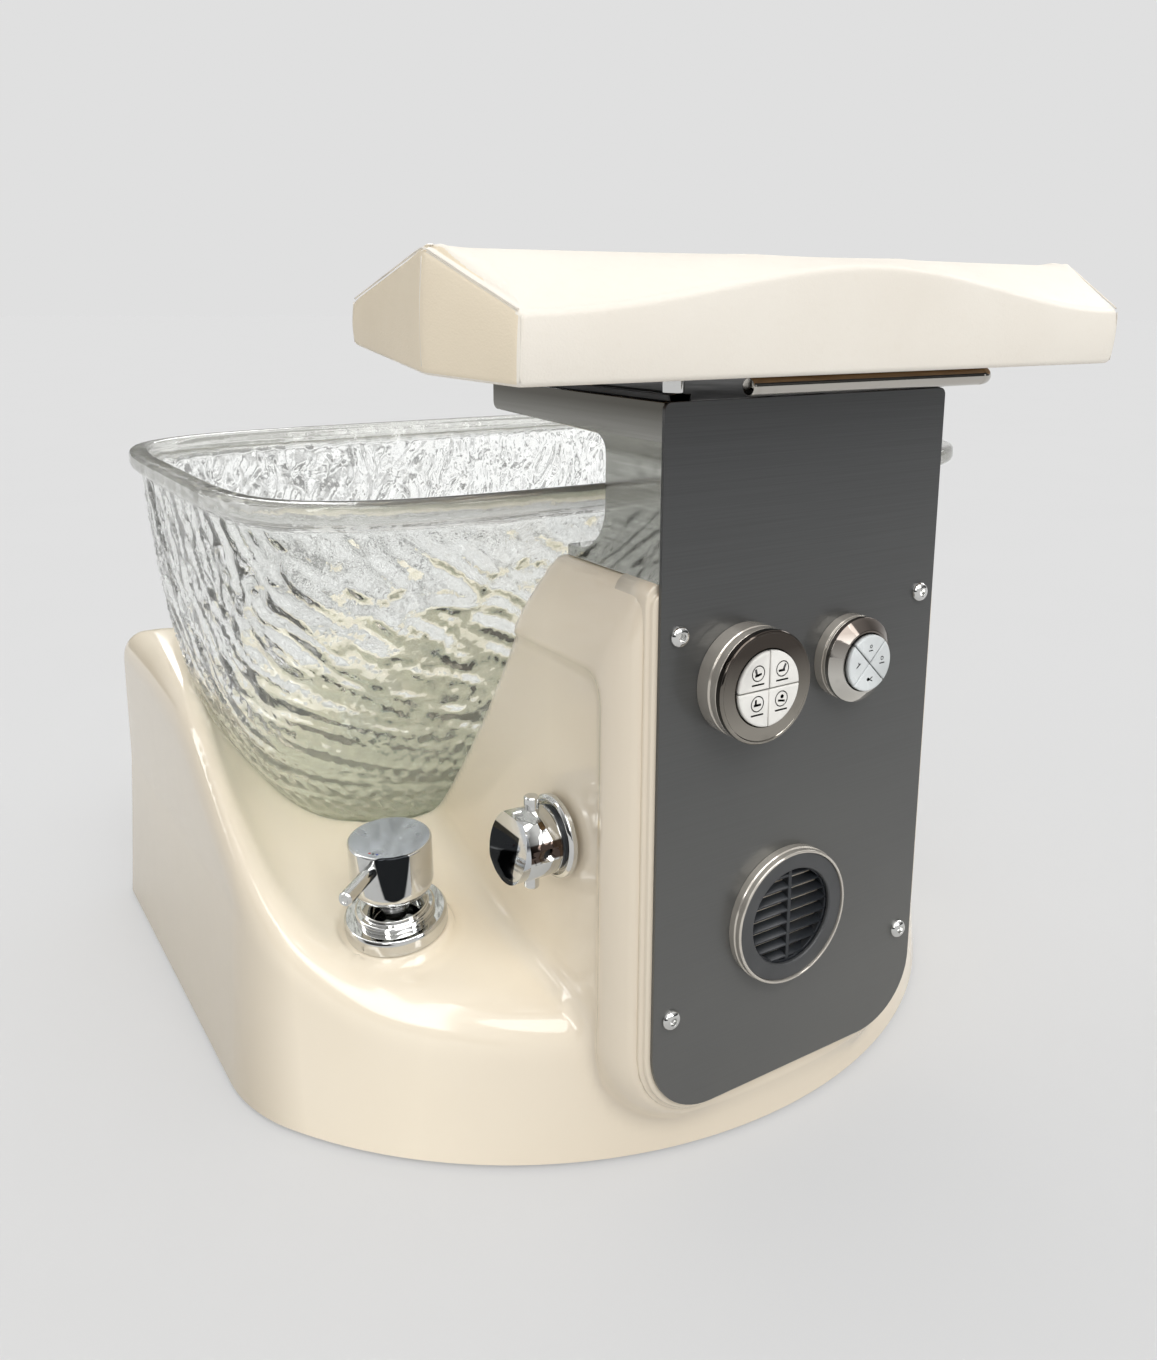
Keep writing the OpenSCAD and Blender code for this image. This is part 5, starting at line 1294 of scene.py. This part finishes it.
def footrest_cushion():
    """Upholstered pad: pointed ends, a long ridge, walls that swell slightly and rolled top edges."""
    p = PAD
    points = eased_rim(pad_rim())
    plan, rim_h, flat = points[:, :2], points[:, 2], np.zeros(len(points))
    out = outward_of(points)
    for _ in range(6):
        out = out + np.roll(out, 1, 0) + np.roll(out, -1, 0)
        out /= np.linalg.norm(out, axis=1, keepdims=True)
    rings = [np.column_stack([lerp(np.array([0, p["deep"] / 2]), plan - out * 14, share), flat])
             for share in (0.15, 0.4, 0.7, 0.9)]

    def ring(grow, height):
        rings.append(np.column_stack([plan + out * grow, height]))

    ring(-14, flat)
    for angle in np.linspace(0, math.pi / 2, 6):
        ring(-TUCK + TUCK * math.sin(angle), flat + TUCK * (1 - math.cos(angle)))
    for share in np.linspace(0.08, 0.96, 12):
        ring(SWELL * math.sin(math.pi * share) ** 0.8, lerp(flat + TUCK, rim_h - ROLL, share))
    for angle in np.linspace(0, math.pi / 2, 7):
        ring(-ROLL + ROLL * math.cos(angle), rim_h - ROLL + ROLL * math.sin(angle))
    inner, steps = plan - out * ROLL, 30
    for f in [k / steps for k in range(1, steps + 1)]:
        across = np.stack([lerp(inner[:, 0], plan[:, 0] * 0.985, f), lerp(inner[:, 1], p["ridge_v"], f)], -1)
        lift = 3.2 * math.sin(math.pi * f) ** 0.9 * np.clip((p["ridge_h"] - rim_h) / 6, 0, 1)
        rings.append(np.column_stack([across, lerp(rim_h, p["ridge_h"], f ** 0.88) + lift]))
    loops = [[tuple(v) for v in r] for r in rings]
    piece = mesh_piece("footrest_cushion", *lofted(loops, caps=(True, False)), SHOP @ AT_PAD)
    with editing(piece.data) as bm:
        bmesh.ops.remove_doubles(bm, verts=bm.verts, dist=0.0006)
        bmesh.ops.dissolve_degenerate(bm, edges=bm.edges, dist=1e-5)
        bmesh.ops.holes_fill(bm, edges=[e for e in bm.edges if e.is_boundary])
        bmesh.ops.recalc_face_normals(bm, faces=bm.faces)
        crease_soften(bm)
        for face in bm.faces:
            face.smooth = True
    return piece


def crease_soften(bm):
    """Relaxes the ridge line of the top so that it reads as a padded fold."""
    local = (SHOP @ AT_PAD).inverted()
    for _ in range(10):
        moved = {}
        for v in bm.verts:
            q = local @ v.co
            if abs(q.y - PAD["ridge_v"]) < 16 and abs(q.x) < 250 and q.z > 45:
                around = [e.other_vert(v).co for e in v.link_edges]
                moved[v] = sum(around, Vector()) / len(around)
        for v, co in moved.items():
            v.co = v.co.lerp(co, 0.5)


def seam_tube(name, path, radius):
    """A thin raised seam along a path in the pad's own millimetres."""
    piece = bent(name, [([SHOP @ AT_PAD @ Vector(point) for point in path], False)],
                 dimensions="3D", bevel_depth=radius * MM, bevel_resolution=2, use_fill_caps=True)
    tidy_mesh(piece.data)
    return dressed(piece, "seam")


def footrest_seams():
    """Seams along the end panels' top edges, down both tips and down the front and rear corners."""
    p, rim = PAD, pad_rim()
    points = eased_rim(rim)
    out = outward_of(points)
    runs = [list(run) for side, run in groupby(range(len(rim)), lambda i: rim[i][3]) if side == 1]
    pieces = []
    for k, run in enumerate(run for run in runs if len(run) > 6):
        path = [(*(points[i][:2] - out[i] * 0.55), points[i][2] - 0.55) for i in run]
        pieces.append(seam_tube("edge_seam%d" % k, path, 0.55))
    for side in (-1, 1):
        for x, v in ((p["long"] / 2, p["ridge_v"]), (p["edge"] / 2, 0.0), (p["edge"] / 2, p["deep"])):
            near = int(np.argmin(np.hypot(points[:, 0] - side * x, points[:, 1] - v)))
            path = []
            for share in np.linspace(0.07, 0.93, 14):
                swell = SWELL * math.sin(math.pi * (share - 0.05)) ** 0.8 if share > 0.1 else 0.2
                path.append((*(points[near][:2] + out[near] * (swell - 0.30)), points[near][2] * share))
            pieces.append(seam_tube("upright_seam_%d_%d" % (side, round(v)), path, 0.42))
    return joined("cushion_seams", pieces)


GRIP = dict(r=6, x0=-74, x1=141, out=19, shaft_y=SHAFT_Y, z=529.6, shaft_r=4, bend=13, shaft_x0=32)


def pressed_lever():
    """Grip, arm and cross shaft bent from one bar, polished, with eased ends."""
    g = GRIP
    r, x0, x1, bend_r, y0, z, back = g["r"], g["x0"], g["x1"], g["bend"], -g["out"], g["z"], g["shaft_y"]
    along, thin, reach = x1 - bend_r - x0, g["shaft_r"], x1 - g["shaft_x0"]
    grip = turned("lever_grip", [(0, 0), (r - 0.8, 0), (r, 0.8), (r, along), (0, along)],
                  move(x0, y0, z) @ turn("Y", 90), 0.3, 64)
    loops = []
    for a in [math.pi / 2 * k / 12 for k in range(13)]:
        side = Vector((math.sin(a), -math.cos(a), 0))
        centre = Vector((x1 - bend_r, y0 + bend_r, z)) + side * bend_r
        loops.append([centre + side * r * math.cos(t) + Vector((0, 0, r * math.sin(t)))
                      for t in np.linspace(0, 2 * math.pi, 48, endpoint=False)])
    bend = mesh_piece("lever_bend", *lofted(loops), SHOP)
    long = back - 9 - (y0 + bend_r)
    arm = turned("lever_arm", [(0, 0), (r, 0), (r, long), (r - 1.2, long + 3.2), (4.2, long + 5.2),
                               (4.0, long + 9), (0, long + 9)],
                 move(x1, y0 + bend_r, z) @ turn("X", -90), 0.6, 64)
    ball = [(0, -4.0), (2.0, -3.46), (3.46, -2.0), (4.0, 0), (3.46, 2.0), (2.0, 3.46), (0, 4.0)]
    knuckle = turned("lever_knuckle", ball, move(x1, back, z), 0.05, 32)
    shaft = turned("lever_shaft", [(0, 0), (thin - 0.5, 0), (thin, 0.5), (thin, reach), (0, reach)],
                   move(g["shaft_x0"], back, z) @ turn("Y", 90), 0.2, 48)
    return joined("press_lever", [dressed(piece, "lever") for piece in (grip, bend, arm, knuckle, shaft)])


# ---------- the object ----------

ROOT = "basin_unit"
TAP_AXIS = (SHOP @ AT_HANDLE @ Vector((0, 0, MIXER["h"] * 0.5)))[:2]
FINISH = {
    "gelcoat": gelcoat(), "panel": panel_grey(), "sheet": polished_sheet(), "board": plywood(),
    "glass": clear_glass(), "bubble": bubble_glass(), "chrome": chrome(),
    "vinyl": vinyl("cream_vinyl", (242, 236, 225), (237, 230, 218)),
    "vinyl_end": vinyl("cream_vinyl_ends", (240, 227, 203), (233, 219, 194)),
    # painted reflection: the chair's control ring grows darker towards its top
    "taupe": chrome("taupe_chrome", (156, 151, 142), 0.08, 0.08, (74, 68, 63), painted_reflection_upward(0.318, 0.366)),
    "lever": chrome("warm_chrome", (186, 182, 175), 0.06, 0.08),
    # painted reflection: the jet's control ring grows darker towards its top
    "pale_ring": chrome("pale_chrome", (206, 203, 196), 0.07, 0.05, (112, 104, 98), painted_reflection_upward(0.336, 0.364)),
    # painted reflection: a dark upright band down the side of the tap's handle
    "painted_reflection_band": chrome("handle_chrome", (208, 209, 208), 0.03, 0.04, (38, 40, 42),
                     painted_reflection_band(TAP_AXIS, -110, 18, MIXER["r"] * MM)),
    "cap_top": chrome("handle_top", (192, 196, 201), 0.20, 0.16),
    # painted reflection: a dark level band round the diverter's knob
    "painted_reflection_belt": chrome("knob_chrome", (204, 204, 201), 0.04, 0.05, (84, 72, 66), painted_reflection_belt(0.2255, 0.0065)),
    "housing": chrome("housing_chrome", (206, 200, 190), 0.10, 0.08, metal=0.6),
    # painted reflection: the cap's face is dark towards its rear lower part
    "facet": chrome("facet_chrome", (206, 209, 212), 0.04, 0.04, (30, 32, 34),
                    painted_reflection_corner(FACE_Y + 0.072, 0.234)),
    "steel": chrome("plain_steel", (176, 176, 176), 0.26, 0.12),
    "brass": chrome("turned_brass", (196, 170, 104), 0.24, 0.1),
    "copper": chrome("drawn_copper", (184, 118, 84), 0.26, 0.14),
    "underside": satin("underside_cloth", (40, 39, 38), 0.8, grain=900),
    # painted highlight: the seams are a little lighter than the vinyl round them
    "seam": satin("seam_vinyl", (247, 240, 228), 0.5, grain=700),
    "black": satin("black_metal", (27, 27, 28), 0.38),
    "louvre": satin("louvre_black", (42, 45, 49), 0.36, grain=420),
    "charcoal": satin("charcoal_plastic", (72, 73, 74), 0.40, grain=420),
    "white_key": satin("key_white", (240, 238, 232), 0.30, grain=500, depth=0.00008),
    "grey_key": satin("key_grey", (222, 226, 226), 0.26, grain=500, depth=0.00008),
    "ink": satin("key_ink", (58, 58, 60), 0.5, grain=600, depth=0.00003),
    "hot": satin("mark_red", (190, 40, 40), 0.4),
    "cold": satin("mark_blue", (50, 80, 170), 0.4),
    "frame": satin("frame_paint", (128, 132, 138), 0.45, 0.3),
    "rubber": satin("black_rubber", (38, 38, 38), 0.7),
    "grey_rubber": satin("grey_rubber", (120, 124, 124), 0.65),
    "white_plastic": satin("white_plastic", (222, 222, 214), 0.42),
}
SLOT_FINISH = {"column": "sheet", "black_metal": "black", "black_plastic": "louvre"}
for part in frame["record"]["subparts"]:
    dressed(nodes[part["node"]], SLOT_FINISH.get(part["material_slot"], part["material_slot"]))

fitted(moulded_base(), ROOT, "gelcoat", "base_shell", finish="gelcoat")
fitted(plinth_border(), ROOT, "gelcoat", finish="gelcoat")
fitted(glass_basin(), ROOT, "glass", "glass_bowl", finish="glass")
fitted(glass_bubbles(), ROOT, "glass")
fitted(control_panel(), ROOT, "panel", "front_panel", finish="panel")
fitted(panel_bolts(), ROOT, "chrome", "panel_screws")
column = softened("column_box", "column_cover", 0.9, ROOT, "column", "sheet")
refinished(column, "black", lambda face: face.normal.z > 0.9 and face.center.z > COLUMN_TOP - 0.002)
softened("slide_rails", "rails", 0.35, ROOT, "steel", "black")
softened("carrier_plate", "pad_carrier", 0.8, "footrest", "black_metal", "black")
softened("slide_posts", "posts", 0.5, "footrest", "chrome", "chrome")
softened("lever_lugs", "shaft_lugs", 0.6, ROOT, "black_metal", "black")
softened("drain_flange", "drain_rim", 0.5, ROOT, "chrome", "chrome")
softened("drain_plug", "plug", 0.5, "plug", "chrome", "chrome")

for name, c, finish, cap, marks in (("chair", CHAIR, "taupe", "white_key", CHAIR_MARKS),
                                    ("jet", JET, "pale_ring", "grey_key", JET_MARKS)):
    fitted(control_rings(name + "_rings", c), ROOT, "chrome", name + "_control_housing", finish="housing")
    fitted(control_face(name + "_front", c), ROOT, "chrome", name + "_control_ring", finish=finish)
    for i in range(4):
        node = "%s_key_%d" % (name, i + 1)
        fitted(key(node + "_cap", c, i, cap, marks[i]), node, cap, node)

ring, bezel = vent_parts()
fitted(ring, ROOT, "chrome", "vent_ring", finish="housing")
fitted(bezel, ROOT, "charcoal", "vent_bezel", finish="charcoal")
fitted(vent_louvre(), ROOT, "black_plastic", "vent_grille")

plate, neck, cap, lever = tap_parts()
fitted(plate, ROOT, "chrome", "mixer_plate", finish="chrome")
fitted(neck, ROOT, "chrome", "mixer_body", finish="chrome")
fitted(cap, "tap_handle", "chrome", "mixer_handle")
fitted(lever, "tap_handle", "chrome", "mixer_pin_lever", finish="chrome")

plate, collar, knob, cap = diverter_parts()
fitted(plate, ROOT, "chrome", "diverter_plate", finish="chrome")
fitted(collar, ROOT, "black_plastic", "diverter_body", finish="louvre")
fitted(knob, "diverter_handle", "chrome", "diverter_knob")
# the cap's chrome carries a painted dark reflection on its face
fitted(cap, "diverter_handle", "chrome", "diverter_cap", finish="facet")

cushion = fitted(footrest_cushion(), "footrest", "vinyl", "footrest_pad", finish="vinyl")
refinished(cushion, "underside", lambda face: face.normal.z < -0.97)
refinished(cushion, "vinyl_end", lambda face: abs(face.normal.x) > 0.75)
fitted(footrest_seams(), "footrest", "vinyl")
fitted(pressed_lever(), "lever", "chrome", "release_lever")


# ---------- floor, light and camera ----------

PALE = (0.745, 0.745, 0.745, 1.0)
FLOOR_TONE, FLOOR_GRAIN = 0.655, 0.004
FLOOR_GLOW = 0.45                              # share of the backdrop's own light in the floor
FLOOR_DROP = 0.0002                            # the floor lies this far below the feet
SUN_TOWARDS = Vector((-0.10, -0.60, 0.64))
SUN_LEVEL = 1.25
SKY_LOW, SKY_HIGH = 0.44, 1.02                 # even light at the horizon and from above


def grey(value):
    return (value, value, value, 1.0)


def studio_world():
    """Even light for surfaces, a plain pale backdrop for the camera and a soft studio for reflections."""
    s = Shader("studio", "worlds")
    place = s.node("ShaderNodeTexCoord").out("Generated")
    split = s.node("ShaderNodeSeparateXYZ", inputs=[place])
    width, height = split.out("X"), split.out("Z")
    side = s.maths("ARCTAN2", split.out("Y"), width)
    bands = s.span(s.maths("SINE", side * 3.0 + height * 2.0), -0.25, 0.25)
    lamps = s.span(s.maths("SINE", side * 5.0 + 1.3), 0.84, 0.92)
    room = s.mix(bands, grey(0.05), grey(0.72))
    roof = s.mix(s.span(height, 0.0, 0.9), grey(0.50), grey(0.95))
    room = s.mix(s.span(height, 0.15, 0.75), room, roof)
    room = s.mix(lamps * s.span(height, 0.28, 0.36), room, grey(6.0))
    folds = s.span(s.noise(6, 2, 0.5, 1.0, place), 0.40, 0.56)
    even = s.mix(s.span(height, 0.0, 0.8), grey(SKY_LOW), grey(SKY_HIGH))
    even = s.mix(s.span(width, -0.9, 0.0, 0.15, 0.0), even, grey(0.0))
    tone = s.mix(s.ray("Is Glossy Ray"), even, room)
    tone = s.mix(s.first_pass(), tone, s.mix(folds, grey(0.30), grey(1.08)))
    tone = s.mix(s.ray("Is Camera Ray"), tone, PALE)
    light = s.node("ShaderNodeBackground", inputs={"Color": tone, "Strength": 1.0})
    bpy.context.scene.world = s.finish(light, "ShaderNodeOutputWorld")


def pale_floor():
    """Wide matt floor just below the object's feet."""
    rings = lathe([(0, 0), (1.2, 0), (6, 0), (40, 0)], 96, closed=False)
    floor = mesh_piece("floor", *rings, move(0, 0.02, FLOOR_Z - FLOOR_DROP))
    s = Shader("floor_paper")
    low, high = grey(FLOOR_TONE - FLOOR_GRAIN), grey(FLOOR_TONE + FLOOR_GRAIN)
    tone = s.mix(s.span(s.noise(3, 2), 0.3, 0.7), low, high)
    matt = s.node("ShaderNodeBsdfDiffuse", inputs={"Color": tone})
    glow = s.node("ShaderNodeEmission", inputs={"Color": PALE})
    seen = s.cover(s.ray("Is Camera Ray") * FLOOR_GLOW, matt, glow)
    floor.data.materials.append(s.finish(s.cover(s.first_pass(), seen, s.clear())))
    if floor.data.polygons[0].normal.z < 0:
        floor.data.flip_normals()


def lamp(name, kind, place, towards, **settings):
    data = bpy.data.lights.new(name, kind)
    for key_name, value in settings.items():
        setattr(data, key_name, value)
    holder = linked(name, data)
    holder.location = place
    holder.rotation_euler = Vector(towards).to_track_quat("-Z", "Y").to_euler()


CAMERA = dict(place=(-0.5210, -0.81892, 0.5789), yaw=32.5, pitch=11.69, roll=0.24, lens=30.49,
              shift=(0.0, -0.1044))


def camera():
    c = CAMERA
    data = bpy.data.cameras.new("camera")
    data.sensor_width, data.sensor_fit, data.lens = 36, "AUTO", c["lens"]
    data.shift_x, data.shift_y = c["shift"]
    data.clip_start, data.clip_end = 0.01, 100
    data.dof.use_dof = False
    holder = linked("camera", data)
    holder.matrix_world = (move(*c["place"]) @ turn("Z", -c["yaw"]) @ turn("X", 90 - c["pitch"])
                           @ turn("Z", c["roll"]))
    bpy.context.scene.camera = holder


studio_world()
pale_floor()
lamp("sun", "SUN", (0, 0, 2), -SUN_TOWARDS, energy=SUN_LEVEL, angle=math.radians(38))
camera()
bpy.context.scene.view_settings.view_transform = "Standard"
